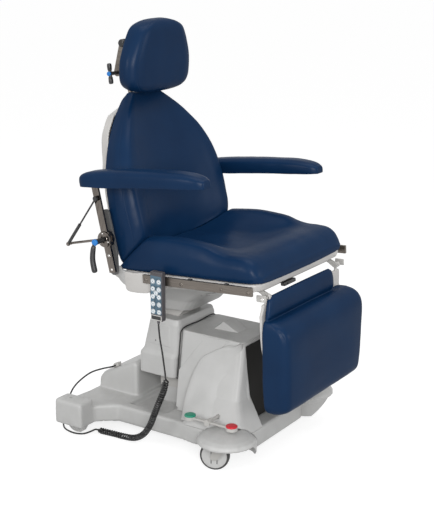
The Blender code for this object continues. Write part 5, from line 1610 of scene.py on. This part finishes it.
@dataclass(frozen=True)
class LegPanel(Moulding):
    """Panel behind the leg cushion, with its edge turned back."""

    widen: float = 0.03
    narrow: float = 0.05
    turned: float = 0.005
    below: Pair = (-0.03, -0.06)
    above: Pair = (-0.26, -0.16)
    foot: Pair = (-0.2, -0.28)
    flank: Pair = (0.2, 0.24)
    bore: float = 0.0076
    core: float = 0.0001
    ear: float = 0.23
    ear_foot: float = -0.06
    clear: float = 0.0007

    def place(self) -> Matrix:
        """Leg frame."""
        return PLACES.leg

    def drawn(self, p: Vector) -> Vector:
        """Draw out the edge, and clear the hinge's bore and ears.

        Args:
            p: A point of the rounded form.

        Returns:
            Where it goes.
        """
        share = ramp(p.z, *self.below) * ramp(p.z, *self.above)
        p.x *= 1.0 + self.widen * share - self.narrow * ramp(p.z, *self.foot)
        p.y += self.turned * share * ramp(abs(p.x), *self.flank)
        far = max(math.hypot(p.y, p.z), self.core)
        if far < self.bore and abs(p.x) > self.flank[0]:
            p.y *= self.bore / far
            p.z *= self.bore / far
        if p.z > self.ear_foot and abs(p.x) > self.ear:
            p.x += math.copysign(self.clear, p.x)
        return p


@dataclass(frozen=True)
class DomeSkirt:
    """Wall that closes the front of one castor dome."""

    side: Side
    centre: Pair = (0.26, -0.219)
    outer: float = 0.0985
    wall: float = 0.0035
    foot: float = 0.046
    top: float = 0.109
    least: float = 0.004
    lip: Pair = (0.001, 0.002)
    span: Pair = (-108.0, -4.0)
    start: float = 0.125
    slope: float = 0.42
    steps: int = 40

    def build(self) -> None:
        """Bend the wall round the dome's front."""
        inner = self.outer - self.wall
        high = self.top - self.least
        rings = []
        for k in range(self.steps + 1):
            share = k / self.steps
            turn = math.radians(self.span[0] + share * (self.span[1] - self.span[0]))
            low = high - (high - self.foot) * min(1.0, share / self.start, (1 - share) / self.slope)
            section = ((self.outer, self.top), (self.outer, low + self.lip[1]),
                       (self.outer - self.lip[0], low), (inner, low), (inner, self.top))
            ring = []
            for radius, z in section:
                x = self.centre[0] + radius * math.sin(turn)
                y = self.centre[1] - radius * math.cos(turn)
                ring.append((self.side.value * x, y, z))
            rings.append(ring)
        form = bmesh.new()
        skin(form, rings)
        fitted(f"dome_skirt_{self.side.label}", form, Finishes.base, "base")


def screw_head(form: BMesh, place: Matrix, radius: float) -> None:
    """Add a button-head screw with a socket, facing along X.

    Args:
        form: The mesh to add to.
        place: Frame of its seat.
        radius: Radius of its head.
    """
    lathe(form, ((-0.0006, radius), (0.0003, radius), (0.0011, 0.9 * radius), (0.0016, 0.62 * radius),
                 (0.0016, 0.44 * radius), (0.0004, 0.4 * radius), (0.0004, 0.0)), 20, place)


@dataclass(frozen=True)
class RailFittings:
    """Screws and clips of one accessory rail."""

    side: Side
    face: float = 0.31
    level: float = 0.1187
    screws: Row = (-0.003, -0.1453, -0.2995, -0.398)
    screw_radius: float = 0.0068
    clips: Row = (-0.178, -0.318)
    clip_span: Pair = (-0.01, 0.0012)
    clip_half: float = 0.007
    clip_height: float = 0.0036
    clip_edge: float = 0.0008
    top: float = 0.1366

    def build(self) -> None:
        """Fit the screws on the outer face and the clips on the upper edge."""
        s = self.side.value
        form = bmesh.new()
        for y in self.screws:
            place = PLACES.seat @ Matrix.Translation((s * self.face, y, self.level)) @ facing((s, 0.0, 0.0))
            screw_head(form, place, self.screw_radius)
        fitted(f"rail_screws_{self.side.label}", form, Finishes.bar, "seat")
        form = bmesh.new()
        start, end = sorted(s * (self.face + reach) for reach in self.clip_span)
        for y in self.clips:
            slab(form, (start, y - self.clip_half, self.top),
                 (end, y + self.clip_half, self.top + self.clip_height), self.clip_edge, PLACES.seat)
        fitted(f"rail_clips_{self.side.label}", form, Finishes.black, "seat")


@dataclass(frozen=True)
class HandsetDress:
    """Film, printed rings, plain plate and ribs on the handset's face, and marks on its buttons."""

    face: float = -0.0233
    film_half: float = 0.0212
    film_top: float = 0.0225
    film_foot: float = -0.1065
    film_thick: float = 0.0004
    hole: Knots = ((-0.003, 0.0066), (0.003, 0.0066))
    ring: Knots = ((0.0, 0.0068), (-0.0003, 0.0068), (-0.0003, 0.0082), (0.0, 0.0082))
    rows: int = 5
    pitch: float = 0.0255
    first: float = 0.004
    column: float = 0.012
    proud: float = 0.0014
    frame_box: tuple[Triple, Triple] = ((-0.0006, -0.0212, -0.1272), (0.0004, 0.0212, -0.11))
    plate_box: tuple[Triple, Triple] = ((-0.001, -0.019, -0.125), (0.0, 0.019, -0.1122))
    plate_edge: float = 0.0002
    ribs: Row = (-0.018, -0.012, -0.006, 0.0, 0.006, 0.012, 0.018)
    rib_box: tuple[Triple, Triple] = ((-0.001, -0.0012, 0.0262), (0.001, 0.0012, 0.0338))
    rib_edge: float = 0.0005
    arrow: Pairs = (
        (0.0, 0.003), (0.003, -0.0018), (0.0012, -0.0012), (-0.0012, -0.0012), (-0.003, -0.0018))
    ink: Pair = (0.0002, -0.00025)

    def places(self) -> list[Pair]:
        """List the places of the buttons.

        Returns:
            Their places on the face, in the order of the record's names.
        """
        levels = [self.first - self.pitch * row for row in range(self.rows)]
        pairs = [(y, z) for z in levels for y in (self.column, -self.column)]
        return pairs + [(0.0, (levels[1] + levels[2]) / 2)]

    def spot(self, y: float = 0.0, z: float = 0.0, out: float = 0.0) -> Matrix:
        """Frame on the handset's face, or a little way out of it."""
        return PLACES.handset @ Matrix.Translation((self.face - out, y, z))

    def build(self) -> None:
        """Make the face, then one mark for each button."""
        self.film()
        self.rings()
        self.plate()
        self.marks()

    def film(self) -> None:
        """Lay the printed film with a hole round each button."""
        form = bmesh.new()
        slab(form, (self.face - self.film_thick, -self.film_half, self.film_foot),
             (self.face + self.film_thick, self.film_half, self.film_top), 0.0, PLACES.handset)
        film = new_piece("handset_film", form)
        form = bmesh.new()
        for y, z in self.places():
            lathe(form, self.hole, 24, self.spot(y, z))
        tool = new_piece("film_tool", form)
        cut = film.modifiers.new("holes", "BOOLEAN")
        cut.operation = "DIFFERENCE"
        cut.object = tool
        graph = bpy.context.evaluated_depsgraph_get()
        film.data = bpy.data.meshes.new_from_object(film.evaluated_get(graph))
        film.modifiers.clear()
        bpy.data.objects.remove(tool, do_unlink=True)
        dress(film, Finishes.film, "seat")

    def rings(self) -> None:
        """Print a pale ring round each button."""
        form = bmesh.new()
        for y, z in self.places():
            lathe(form, self.ring, 28, self.spot(y, z, self.film_thick), loop=True)
        fitted("handset_rings", form, Finishes.button, "seat")

    def plate(self) -> None:
        """Set a bare plate in a bright frame under the film, and ribs above it."""
        form = bmesh.new()
        slab(form, *self.frame_box, self.plate_edge, self.spot())
        fitted("handset_plate_frame", form, Finishes.chrome, "seat")
        form = bmesh.new()
        slab(form, *self.plate_box, self.plate_edge, self.spot())
        fitted("handset_plate", form, Finishes.black, "seat")
        form = bmesh.new()
        for y in self.ribs:
            slab(form, *self.rib_box, self.rib_edge, self.spot(y))
        fitted("handset_ribs", form, Finishes.handset, "seat")

    def marks(self) -> None:
        """Print an arrow on each button, up and down by turns."""
        for number, (y, z) in enumerate(self.places(), 1):
            form = bmesh.new()
            place = self.spot(y, z, self.proud)
            up = 1.0 if number % 2 else -1.0
            skin(form, [[place @ Vector((x, a, b * up)) for a, b in self.arrow] for x in self.ink])
            fitted(f"button_mark_{number:02d}", form, Finishes.mark, f"handset_button_{number:02d}")


@dataclass(frozen=True)
class BrakeCaps:
    """Coloured caps on the brake pads: red in front, green behind."""

    out: float = 0.262
    front: float = -0.092
    rear: float = 0.074
    top: float = 0.0052
    profile: Knots = ((0.0, 0.0192), (0.0022, 0.0198), (0.0046, 0.019), (0.006, 0.0168), (0.0064, 0.009),
                      (0.0062, 0.0))

    def build(self) -> None:
        """Make a cap for each pad."""
        for side in Side:
            for name, y, finish in (("red", self.front, Finishes.red), ("green", self.rear, Finishes.green)):
                form = bmesh.new()
                spot = Matrix.Translation((side.value * self.out, y, self.top))
                lathe(form, self.profile, 32, PLACES.brake_bar @ spot @ facing((0.0, 0.0, 1.0)))
                fitted(f"brake_cap_{name}_{side.label}", form, finish, "brake")


@dataclass(frozen=True)
class ArmFittings:
    """Hub plate, lever grip and cap, and screws of one armrest."""

    side: Side
    bar_out: float = 0.3208
    plate_gap: float = 0.0006
    plate: Knots = ((0.0, 0.0125), (0.0, 0.0262), (0.0014, 0.027), (0.003, 0.0262), (0.0036, 0.024),
                    (0.0036, 0.0155), (0.0046, 0.0145), (0.0046, 0.0125))
    plate_face: float = 0.0036
    plate_screws: Row = (90.0, 210.0, 330.0)
    plate_ring: float = 0.02
    plate_screw: float = 0.003
    boss: float = 0.05
    gap: float = 0.0003
    grip: Route = ((0.0003, 0.0066, -0.012), (0.002, 0.01, -0.02), (0.007, 0.018, -0.055),
                                (0.009, 0.018, -0.0985))
    grip_step: float = 0.003
    swell: Knots = ((0.0, 0.007), (0.08, 0.0084), (0.5, 0.0092), (0.9, 0.0098), (0.97, 0.0085),
                    (1.0, 0.0045))
    cap: Knots = ((-0.004, 0.0106), (0.0, 0.0112), (0.0026, 0.0108), (0.0042, 0.0092), (0.0046, 0.0))
    bar_screws: Row = (-0.0556, -0.1036)
    bar_screw: float = 0.0046

    def out(self, frame: Matrix, x: float, z: float = 0.0) -> Matrix:
        """Frame at the armrest's side of another one, whose X axis points outwards."""
        s = self.side.value
        return frame @ Matrix.Translation((s * x, 0.0, z)) @ facing((s, 0.0, 0.0))

    def build(self) -> None:
        """Fit the plate, the lever's grip and cap, and the bar's screws."""
        self.hub()
        self.lever()
        form = bmesh.new()
        for z in self.bar_screws:
            screw_head(form, self.out(PLACES.bar(self.side), self.bar_out, z), self.bar_screw)
        fitted(f"arm_bar_screws_{self.side.label}", form, Finishes.chrome, f"bar_{self.side.label}")

    def hub(self) -> None:
        """Fit the hub's plate and its screws."""
        label = self.side.label
        hub = self.out(PLACES.clamp, self.bar_out + self.plate_gap)
        form = bmesh.new()
        lathe(form, self.plate, 36, hub, loop=True)
        fitted(f"arm_hub_plate_{label}", form, Finishes.bar, f"clamp_{label}")
        form = bmesh.new()
        for turn in map(math.radians, self.plate_screws):
            y = self.plate_ring * math.cos(turn)
            z = self.plate_ring * math.sin(turn)
            screw_head(form, hub @ Matrix.Translation((self.plate_face, y, z)), self.plate_screw)
        fitted(f"arm_hub_screws_{label}", form, Finishes.chrome, f"clamp_{label}")

    def lever(self) -> None:
        """Fit the lever's grip and cap."""
        label = self.side.label
        s = self.side.value
        tip = self.bar_out + self.gap + self.boss
        form = bmesh.new()
        route = [tuple(PLACES.clamp @ Vector((s * (tip + x), y, z))) for x, y, z in self.grip]
        line = spaced_route(route, self.grip_step)
        sweep(form, line, [eased(self.swell, k / (len(line) - 1)) for k in range(len(line))], 20)
        fitted(f"arm_lever_grip_{label}", form, Finishes.black, f"lever_{label}")
        form = bmesh.new()
        lathe(form, self.cap, 28, self.out(PLACES.clamp, tip))
        fitted(f"arm_lever_cap_{label}", form, Finishes.blue, f"lever_{label}")


@dataclass(frozen=True)
class HeadFittings:
    """Axle caps of the headrest link and grips of its T handle."""

    plate: float = 0.0463
    gap: float = 0.0003
    stem: float = 0.036
    lean: float = math.atan2(0.004, 0.032)
    high_cap: float = 0.0135
    low_cap: float = 0.0125
    dome: Knots = ((-0.001, 1.0), (0.004, 1.0), (0.0075, 0.85), (0.0085, 0.55), (0.0085, 0.0))
    grip: Knots = ((0.01, 0.0062), (0.013, 0.0076), (0.026, 0.0084), (0.033, 0.0076), (0.0352, 0.005),
                   (0.0355, 0.0))
    cap: Knots = ((0.005, 0.0078), (0.0078, 0.0082), (0.0096, 0.0072), (0.01, 0.0))

    def build(self) -> None:
        """Fit the caps and the grips."""
        high = (PLACES.head.translation, self.high_cap)
        low = (PLACES.head_link.translation, self.low_cap)
        form = bmesh.new()
        for side, (centre, radius) in ((Side.RIGHT, high), (Side.LEFT, high), (Side.LEFT, low)):
            s = side.value
            place = Matrix.Translation(centre) @ Matrix.Translation((s * self.plate, 0.0, 0.0))
            lathe(form, [(x, share * radius) for x, share in self.dome], 28, place @ facing((s, 0.0, 0.0)))
        fitted("head_axle_caps", form, Finishes.black, "head_link")
        start = PLACES.head_link @ Matrix.Translation((-self.plate - self.gap - self.stem, 0.0, 0.0))
        form = bmesh.new()
        for end in (-1.0, 1.0):
            lathe(form, self.grip, 20, start @ Matrix.Rotation(self.lean, 4, "X") @ facing((0.0, 0.0, end)))
        fitted("head_handle_grips", form, Finishes.black, "head_handle")
        form = bmesh.new()
        lathe(form, self.cap, 24, start @ facing((-1.0, 0.0, 0.0)))
        fitted("head_handle_cap", form, Finishes.blue, "head_handle")


@dataclass(frozen=True)
class CastorWheel:
    """One front castor wheel: a pale slotted disc in a dark tyre."""

    side: Side
    half: float = 0.015
    radius: float = 0.05
    tyre: Knots = ((-0.84, 0.85), (-0.84, 0.935), (-0.68, 0.982), (-0.4, 1.0), (0.4, 1.0), (0.68, 0.982),
                   (0.84, 0.935), (0.84, 0.85))
    disc: Knots = ((-0.8, 0.135), (-0.96, 0.36), (-1.0, 0.72), (-0.92, 0.84), (-0.78, 0.87), (0.78, 0.87),
                   (0.92, 0.84), (1.0, 0.72), (0.96, 0.36), (0.8, 0.135))
    slots: Row = (-0.01, 0.01)
    slot_half: float = 0.0016
    slot_reach: float = 0.026
    slot_depth: Pair = (0.9, 1.012)

    def ring(self, name: str, profile: Knots) -> Object:
        """Turn a closed profile about the axle.

        Args:
            name: First part of the piece's name.
            profile: Shares of the wheel's half width and radius.

        Returns:
            The piece.
        """
        form = bmesh.new()
        sizes = [(x * self.half, share * self.radius) for x, share in profile]
        lathe(form, sizes, 64, PLACES.roll(self.side), loop=True)
        return new_piece(f"{name}_{self.side.label}", form)

    def build(self) -> None:
        """Make the tyre, the disc, and dark strips on the disc's faces that paint the shade in its slots."""
        label = self.side.label
        dress(self.ring("castor_tyre", self.tyre), Finishes.tyre, f"roll_{label}")
        dress(self.ring("castor_disc", self.disc), Finishes.wheel, f"roll_{label}", f"castor_wheel_{label}")
        # Dark strips on both faces of the disc stand for the slots: painted shade in the recesses.
        form = bmesh.new()
        low, high = (share * self.half for share in self.slot_depth)
        for end in (-1.0, 1.0):
            place = PLACES.roll(self.side) @ facing((end, 0.0, 0.0))
            for y in self.slots:
                slab(form, (low, y - self.slot_half, -self.slot_reach),
                     (high, y + self.slot_half, self.slot_reach), 0.0, place)
        fitted(f"castor_slots_{label}", form, Finishes.paint, f"roll_{label}")


@dataclass(frozen=True)
class LegFittings:
    """Bracket plates and bolts beside the leg hinge, and the latch under the seat's edge."""

    plate: float = 0.2536
    thick: float = 0.0065
    low: Pair = (-0.012, -0.009)
    high: Pair = (0.022, 0.013)
    edge: float = 0.003
    bolt: float = 0.0062
    latch: tuple[Triple, Triple] = ((-0.112, -0.4125, 0.0925), (-0.04, -0.396, 0.105))
    thumb: tuple[Triple, Triple] = ((-0.096, -0.416, 0.095), (-0.066, -0.41, 0.101))
    thumb_edge: float = 0.002

    def build(self) -> None:
        """Fit the plates, the bolts and the latch."""
        bolts = bmesh.new()
        for side in Side:
            s = side.value
            form = bmesh.new()
            start, end = sorted((s * self.plate, s * (self.plate + self.thick)))
            slab(form, (start, *self.low), (end, *self.high), self.edge, PLACES.leg)
            fitted(f"leg_bracket_{side.label}", form, Finishes.fitting, "seat")
            place = PLACES.leg @ Matrix.Translation((s * (self.plate + self.thick), 0.0, 0.0))
            screw_head(bolts, place @ facing((s, 0.0, 0.0)), self.bolt)
        fitted("leg_bracket_bolts", bolts, Finishes.chrome, "seat")
        form = bmesh.new()
        slab(form, *self.latch, self.edge, PLACES.seat)
        slab(form, *self.thumb, self.thumb_edge, PLACES.seat)
        fitted("leg_latch", form, Finishes.black, "seat")


@dataclass(frozen=True)
class HingeCovers:
    """Smooth covers over the seat frame's end on one side: the shell's rear corner and the ear behind it."""

    side: Side
    corner: Route = (
        (0.0, -0.012, 0.08), (0.0, 0.004, 0.0705), (0.0, 0.028, 0.0668), (0.0, 0.06, 0.0662),
        (0.0, 0.082, 0.0675), (0.0, 0.0925, 0.073), (0.0, 0.096, 0.083), (0.0, 0.0962, 0.108),
        (0.0, 0.0945, 0.133), (0.0, 0.06, 0.1335), (0.0, -0.012, 0.1335))
    ear: Route = (
        (0.0, 0.09, 0.084), (0.0, 0.101, 0.088), (0.0, 0.113, 0.096), (0.0, 0.1245, 0.1085),
        (0.0, 0.131, 0.1245), (0.0, 0.13, 0.14), (0.0, 0.124, 0.15), (0.0, 0.116, 0.149),
        (0.0, 0.11, 0.14), (0.0, 0.09, 0.133))
    step: float = 0.003
    inner: float = 0.2856
    corner_out: float = 0.2962
    ear_out: float = 0.29365
    edge: float = 0.0028
    bend: float = 0.3

    def cover(self, name: str, outline: Sequence[Triple], out: float, finish: Finish) -> None:
        """Make one plate from its outline in the seat's side plane, with its outer edge rounded.

        Args:
            name: Name of the piece.
            outline: Points round the plate, in the seat's frame.
            out: How far out its face stands.
            finish: Its finish.
        """
        line = spaced_route([*outline, outline[0]], self.step)[:-1]
        core = line.mean(axis=0)
        reach = float(np.linalg.norm(line - core, axis=1).mean())
        rings = []
        for x, pull in ((self.inner, 0.0), (out - self.edge, 0.0), (out - self.bend * self.edge, self.bend),
                        (out, 1.0)):
            points = core + (line - core) * (1.0 - pull * self.edge / reach)
            rings.append([PLACES.seat @ Vector((self.side.value * x, y, z)) for _, y, z in points])
        form = bmesh.new()
        skin(form, rings)
        fitted(f"{name}_{self.side.label}", form, finish, "seat")

    def build(self) -> None:
        """Make both covers."""
        self.cover("shell_corner", self.corner, self.corner_out, Finishes.shell)
        # The ear's cover takes the darkened base grey as painted shade.
        self.cover("hinge_cover", self.ear, self.ear_out, Finishes.hull)


@dataclass(frozen=True)
class TowerDress:
    """Flared wings, side facets, roof wedge and rear seal of the front tower."""

    edge: Route = (
        (0.093, -0.17, 0.39), (0.1173, -0.1192, 0.3697), (0.1265, -0.0637, 0.3389),
        (0.134, -0.0341, 0.3182), (0.145, -0.0177, 0.2863), (0.1585, -0.0073, 0.2514),
        (0.18, -0.0029, 0.2064), (0.203, -0.0063, 0.1683), (0.229, -0.012, 0.118))
    corner: Route = (
        (0.095, -0.186, 0.386), (0.0985, -0.19, 0.36), (0.101, -0.1945, 0.33),
        (0.1035, -0.199, 0.3), (0.1065, -0.205, 0.265), (0.11, -0.212, 0.23),
        (0.115, -0.219, 0.19), (0.122, -0.229, 0.155), (0.14, -0.248, 0.115))
    wing_least: float = 0.118
    wing_across: tuple[int, ...] = (2, 3, 6, 8, 8, 6, 4, 2, 2)
    wing_along: int = 6
    facet_rear: Pairs = (
        (-0.02, 0.386), (-0.0248, 0.3675), (0.005, 0.3303), (0.0348, 0.2893), (0.064, 0.25), (0.064, 0.12))
    facet_front: Pairs = (
        (-0.03, 0.12), (-0.03, 0.25), (-0.06, 0.32), (-0.13, 0.386))
    facet_steps: Knots = ((-0.004, 0.0), (0.0012, 0.0), (0.0024, 0.0012))
    wedge: Pairs = (
        (-0.034, -0.014), (0.034, -0.014), (0.03, -0.122), (-0.03, -0.122))
    wedge_sunk: float = 0.004
    wedge_edge: float = 0.0016
    ridge: float = 0.03
    ridge_half: float = 0.03
    ridge_y: float = -0.056
    half_top: float = 0.108
    half_slope: float = 0.1474
    top: float = 0.39
    rear: float = 0.068
    seal_levels: Row = (0.215, 0.27, 0.36, 0.38)
    seal_corner: float = 0.094
    seal_proud: Triple = (0.0004, 0.0016, 0.001)
    seal_radius: float = 0.0021
    seal_step: float = 0.006

    def side_at(self, height: float) -> float:
        """Half width of the housing at a height."""
        return self.half_top + self.half_slope * (self.top - height)

    def build(self) -> None:
        """Make both sides, the wedge and the seal."""
        for side in Side:
            self.wing(side)
            self.facet(side)
        self.roof()
        self.seal()

    def wing(self, side: Side) -> None:
        """Loft the flared wing between its free edge and the front corner.

        Args:
            side: The wing's side.
        """
        rings = []
        for (ex, ey, ez), (fx, fy, fz) in zip(self.edge, self.corner):
            full = max(ex, self.wing_least)
            deep = fy - ey
            rise = fz - ez
            row = [(ex - 0.016, ey - 0.006, ez - 0.004), (ex - 0.0035, ey - 0.0005, ez - 0.001),
                   (ex, ey - 0.004, ez), (ex + 0.0022, ey + 0.22 * deep, ez + 0.22 * rise),
                   (full + 0.001, ey + 0.55 * deep, ez + 0.55 * rise),
                   (full + 0.3 * (fx - full), ey + 0.84 * deep, ez + 0.84 * rise),
                   (fx + 0.004, fy + 0.004, fz), (fx - 0.004, fy + 0.002, fz), (fx - 0.02, fy + 0.02, fz)]
            rings.append([(side.value * x, y, z) for x, y, z in row])
        grid = lofted(rings, [even_shares(count) for count in self.wing_across], self.wing_along)
        form = bmesh.new()
        skin(form, [[tuple(p) for p in row] for row in grid])
        fitted(f"tower_wing_{side.label}", form, Finishes.base, "base", PLACES.base)

    def facet(self, side: Side) -> None:
        """Raise the slanted facet of the housing's side a little.

        Args:
            side: The facet's side.
        """
        rings = []
        for lift, inset in self.facet_steps:
            outline = [(y - inset, z) for y, z in self.facet_rear] + list(self.facet_front)
            rings.append([(side.value * (self.side_at(z) + lift), y, z) for y, z in outline])
        form = bmesh.new()
        skin(form, rings)
        fitted(f"tower_facet_{side.label}", form, Finishes.base, "base", PLACES.base)

    def roof(self) -> None:
        """Set the faceted wedge on the tower's roof."""
        form = bmesh.new()
        a, b, c, d = [form.verts.new((x, y, self.top - self.wedge_sunk)) for x, y in self.wedge]
        p, q = [form.verts.new((s * self.ridge_half, self.ridge_y, self.top + self.ridge)) for s in (-1, 1)]
        for corners in ((a, d, p), (b, q, c), (a, p, q, b), (d, c, q, p), (a, b, c, d)):
            form.faces.new(corners)
        bmesh.ops.bevel(form, geom=form.edges[:], offset=self.wedge_edge, segments=2, profile=0.5,
                        affect="EDGES")
        fitted("tower_wedge", form, Finishes.base, "base", PLACES.base)

    def seal(self) -> None:
        """Run a black seal round the tower's rear edge."""
        out, back, up = self.seal_proud
        y = self.rear + back
        points = [(-self.side_at(height) - out, y, height) for height in self.seal_levels]
        points += [(-self.seal_corner, y, self.top + up), (0.0, y, self.top + up)]
        points += [(-x, y, z) for x, y, z in reversed(points[:-1])]
        form = bmesh.new()
        sweep(form, spaced_route(points, self.seal_step), self.seal_radius, 10)
        fitted("tower_seal", form, Finishes.gasket, "base", PLACES.base)


@dataclass(frozen=True)
class ColumnDress:
    """Raised panels on the sides of the column cover, and their screws."""

    low: Pair = (-0.04, 0.318)
    high: Pair = (0.046, 0.398)
    flare: float = 0.006
    away: float = 0.4
    steps: int = 24
    wide: float = 0.086
    stretch: float = 1.2
    rim: float = 0.004
    sunk: float = 0.001
    raised: float = 0.0028
    thick: float = 0.004
    screw: Pair = (0.02, 0.335)
    screw_out: float = 0.0016
    screw_radius: float = 0.0028

    def on_cover(self, tree: BVHTree, s: int, y: float, z: float) -> Vector:
        """Find the point of the cover's side at a place in the carriage's frame."""
        spot = PLACES.carriage @ Vector((s * self.away, y, z))
        return tree.ray_cast(spot, Vector((-s, 0.0, 0.0)))[0] or spot

    def raised_at(self, tree: BVHTree, s: int, u: float, v: float) -> Vector:
        """Place one point of a panel's face.

        Args:
            tree: The cover's faces.
            s: Sign of the side.
            u: Share of the panel's width.
            v: Share of its height.

        Returns:
            The point, lower near the rim.
        """
        flare = self.flare * (1 - v)
        y = self.low[0] - flare + u * (self.high[0] - self.low[0] + 2 * flare)
        z = self.low[1] + v * (self.high[1] - self.low[1])
        near = min(u, 1 - u, v * self.stretch, (1 - v) * self.stretch) * self.wide
        lift = self.raised * min(1.0, near / self.rim) ** 0.5 - self.sunk
        return self.on_cover(tree, s, y, z) + Vector((s * lift, 0.0, 0.0))

    def build(self, cover: Object) -> None:
        """Lay a panel and a screw on each side.

        Args:
            cover: The column's moulded cover.
        """
        tree = BVHTree.FromObject(cover, bpy.context.evaluated_depsgraph_get())
        shares = [k / self.steps for k in range(self.steps + 1)]
        for side in Side:
            s = side.value
            rows = [[self.raised_at(tree, s, u, v) for v in shares] for u in shares]
            inner = [[p - Vector((s * self.thick, 0.0, 0.0)) for p in row] for row in rows]
            form = bmesh.new()
            self.sheet(form, rows, inner)
            fitted(f"column_panel_{side.label}", form, Finishes.base, "carriage")
            seat = self.on_cover(tree, s, *self.screw) + Vector((s * self.screw_out, 0.0, 0.0))
            form = bmesh.new()
            screw_head(form, Matrix.Translation(seat) @ facing((s, 0.0, 0.0)), self.screw_radius)
            fitted(f"column_screw_{side.label}", form, Finishes.paint, "carriage")

    @staticmethod
    def sheet(form: BMesh, outer: list[list[Vector]], inner: list[list[Vector]]) -> None:
        """Skin two grids of points into one closed sheet.

        Args:
            form: The mesh to add to.
            outer: Points of the face, row by row.
            inner: Points of the back, in the same order.
        """
        rows = len(outer)
        wide = len(outer[0])
        faces = [[form.verts.new(p) for p in row] for row in outer]
        backs = [[form.verts.new(p) for p in row] for row in inner]
        for i in range(rows - 1):
            for j in range(wide - 1):
                form.faces.new((faces[i][j], faces[i + 1][j], faces[i + 1][j + 1], faces[i][j + 1]))
                form.faces.new((backs[i][j], backs[i][j + 1], backs[i + 1][j + 1], backs[i + 1][j]))
        for i in range(rows - 1):
            for j in (0, wide - 1):
                form.faces.new((faces[i][j], faces[i + 1][j], backs[i + 1][j], backs[i][j]))
        for j in range(wide - 1):
            for i in (0, rows - 1):
                form.faces.new((faces[i][j], faces[i][j + 1], backs[i][j + 1], backs[i][j]))


@dataclass(frozen=True)
class BaseDress:
    """Screws sunk in the rear feet."""

    foot: Triple = (0.318, 0.4, 0.1316)
    screw: Knots = ((-0.0006, 0.0046), (0.0008, 0.0046), (0.0008, 0.0036), (0.0002, 0.0032), (0.0002, 0.0))

    def build(self) -> None:
        """Sink a screw in each foot."""
        form = bmesh.new()
        x, y, z = self.foot
        for side in Side:
            spot = Matrix.Translation((side.value * x, y, z))
            lathe(form, self.screw, 20, PLACES.base @ spot @ facing((0.0, 0.0, 1.0)))
        fitted("foot_screws", form, Finishes.paint, "base")


NODE_FINISHES: dict[Finish, tuple[str, ...]] = {
    Finishes.paint: ("back_frame",),
    Finishes.base: ("base_frame",),
    Finishes.panel: ("front_panel",),
    Finishes.black: ("lift_actuator", "recline_actuator", "head_bracket", "head_handle", "arm_lever_right",
                     "arm_lever_left", "strut_sleeve_right", "strut_sleeve_left", "strut_rod_right",
                     "strut_rod_left"),
    Finishes.steel: ("rail_right", "rail_left", "head_link"),
    Finishes.bar: ("arm_bar_right", "arm_bar_left", "arm_clamp_right", "arm_clamp_left", "head_post"),
    Finishes.fitting: ("cord_connector", "brake_bar", "castor_fork_right", "castor_fork_left", "lift_column",
                       "seat_frame"),
    Finishes.wheel: ("rear_wheel_right", "rear_wheel_left"),
    Finishes.handset: ("handset",),
    Finishes.button: tuple(f"handset_button_{k:02d}" for k in range(1, 12)),
}


def paint_nodes(nodes: dict[str, Object]) -> None:
    """Give each node that stays in view its finish.

    Args:
        nodes: The frame's objects by node name.
    """
    for finish, names in NODE_FINISHES.items():
        for name in names:
            for slot in nodes[name].material_slots:
                slot.link = "OBJECT"
                slot.material = finish.material()
            LOG.info("%s keeps its form and takes %s", name, finish.name)


def build_upholstery() -> None:
    """Make every cushion."""
    wing_seam = Seam(6, 0.5, 0.0011, (0.02, 0.62))
    head_seam = Seam(2, 0.6, 0.0011, (0.14, 0.9))
    SeatCushion("seat_cushion", "seat_pad", "seat").build()
    BackCushion("back_cushion", "back_pad", "back", seams=(wing_seam,)).build()
    corner = ((-0.253, -0.035, -0.08), (-0.26, -0.059, -0.096), (-0.261, -0.072, -0.116),
              (-0.255, -0.076, -0.144))
    darts = (Dart(corner), Dart(tuple((-0.965 * x, y, z) for x, y, z in corner)))
    LegCushion("leg_cushion", "leg_pad", "leg", darts=darts).build()
    HeadCushion("head_cushion", "head_pad", "head", seams=(head_seam,)).build()
    for side in Side:
        ArmCushion(f"armrest_{side.label}", f"arm_pad_{side.label}", f"bar_{side.label}", side=side).build()


def build_mouldings(nodes: dict[str, Object]) -> None:
    """Make the moulded covers and the forms on them.

    Args:
        nodes: The frame's objects by node name.
    """
    column = Moulding("column_moulding", "column_cover", "carriage", Finishes.base, 0.0025, 6)
    ColumnDress().build(column.build(nodes))
    covers = (
        BaseMoulding("base_moulding", "base_cover", "base", Finishes.base),
        TowerMoulding("tower_moulding", "tower_cover", "base", Finishes.base),
        # The moulding under the seat takes the darkened base grey as painted shade.
        Moulding("hull_moulding", "seat_hull", "seat", Finishes.hull, 0.0022, 6),
        Moulding("seat_shell_moulding", "seat_shell", "seat", Finishes.shell, 0.0022, 3),
        BackShell("back_shell_moulding", "back_shell", "back", Finishes.shell, 0.0024, 6),
        LegPanel("leg_panel_moulding", "leg_panel", "leg", Finishes.shell, 0.0022, 3),
    )
    for cover in covers:
        cover.build(nodes)
    TowerDress().build()
    BaseDress().build()
    for side in Side:
        DomeSkirt(side).build()
        HingeCovers(side).build()


def build_fittings() -> None:
    """Make the screws, caps, plates and marks."""
    HandsetDress().build()
    BrakeCaps().build()
    HeadFittings().build()
    LegFittings().build()
    for side in Side:
        RailFittings(side).build()
        ArmFittings(side).build()
        CastorWheel(side).build()


def main() -> None:
    """Build the chair's looks around the frame."""
    logging.basicConfig(level=logging.INFO, format="%(name)s: %(message)s")
    for old in list(bpy.data.objects):
        bpy.data.objects.remove(old, do_unlink=True)
    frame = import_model()
    Studio().build()
    HandsetCord().build()
    build_upholstery()
    build_mouldings(frame["nodes"])
    build_fittings()
    paint_nodes(frame["nodes"])


if __name__ == "__main__":
    main()
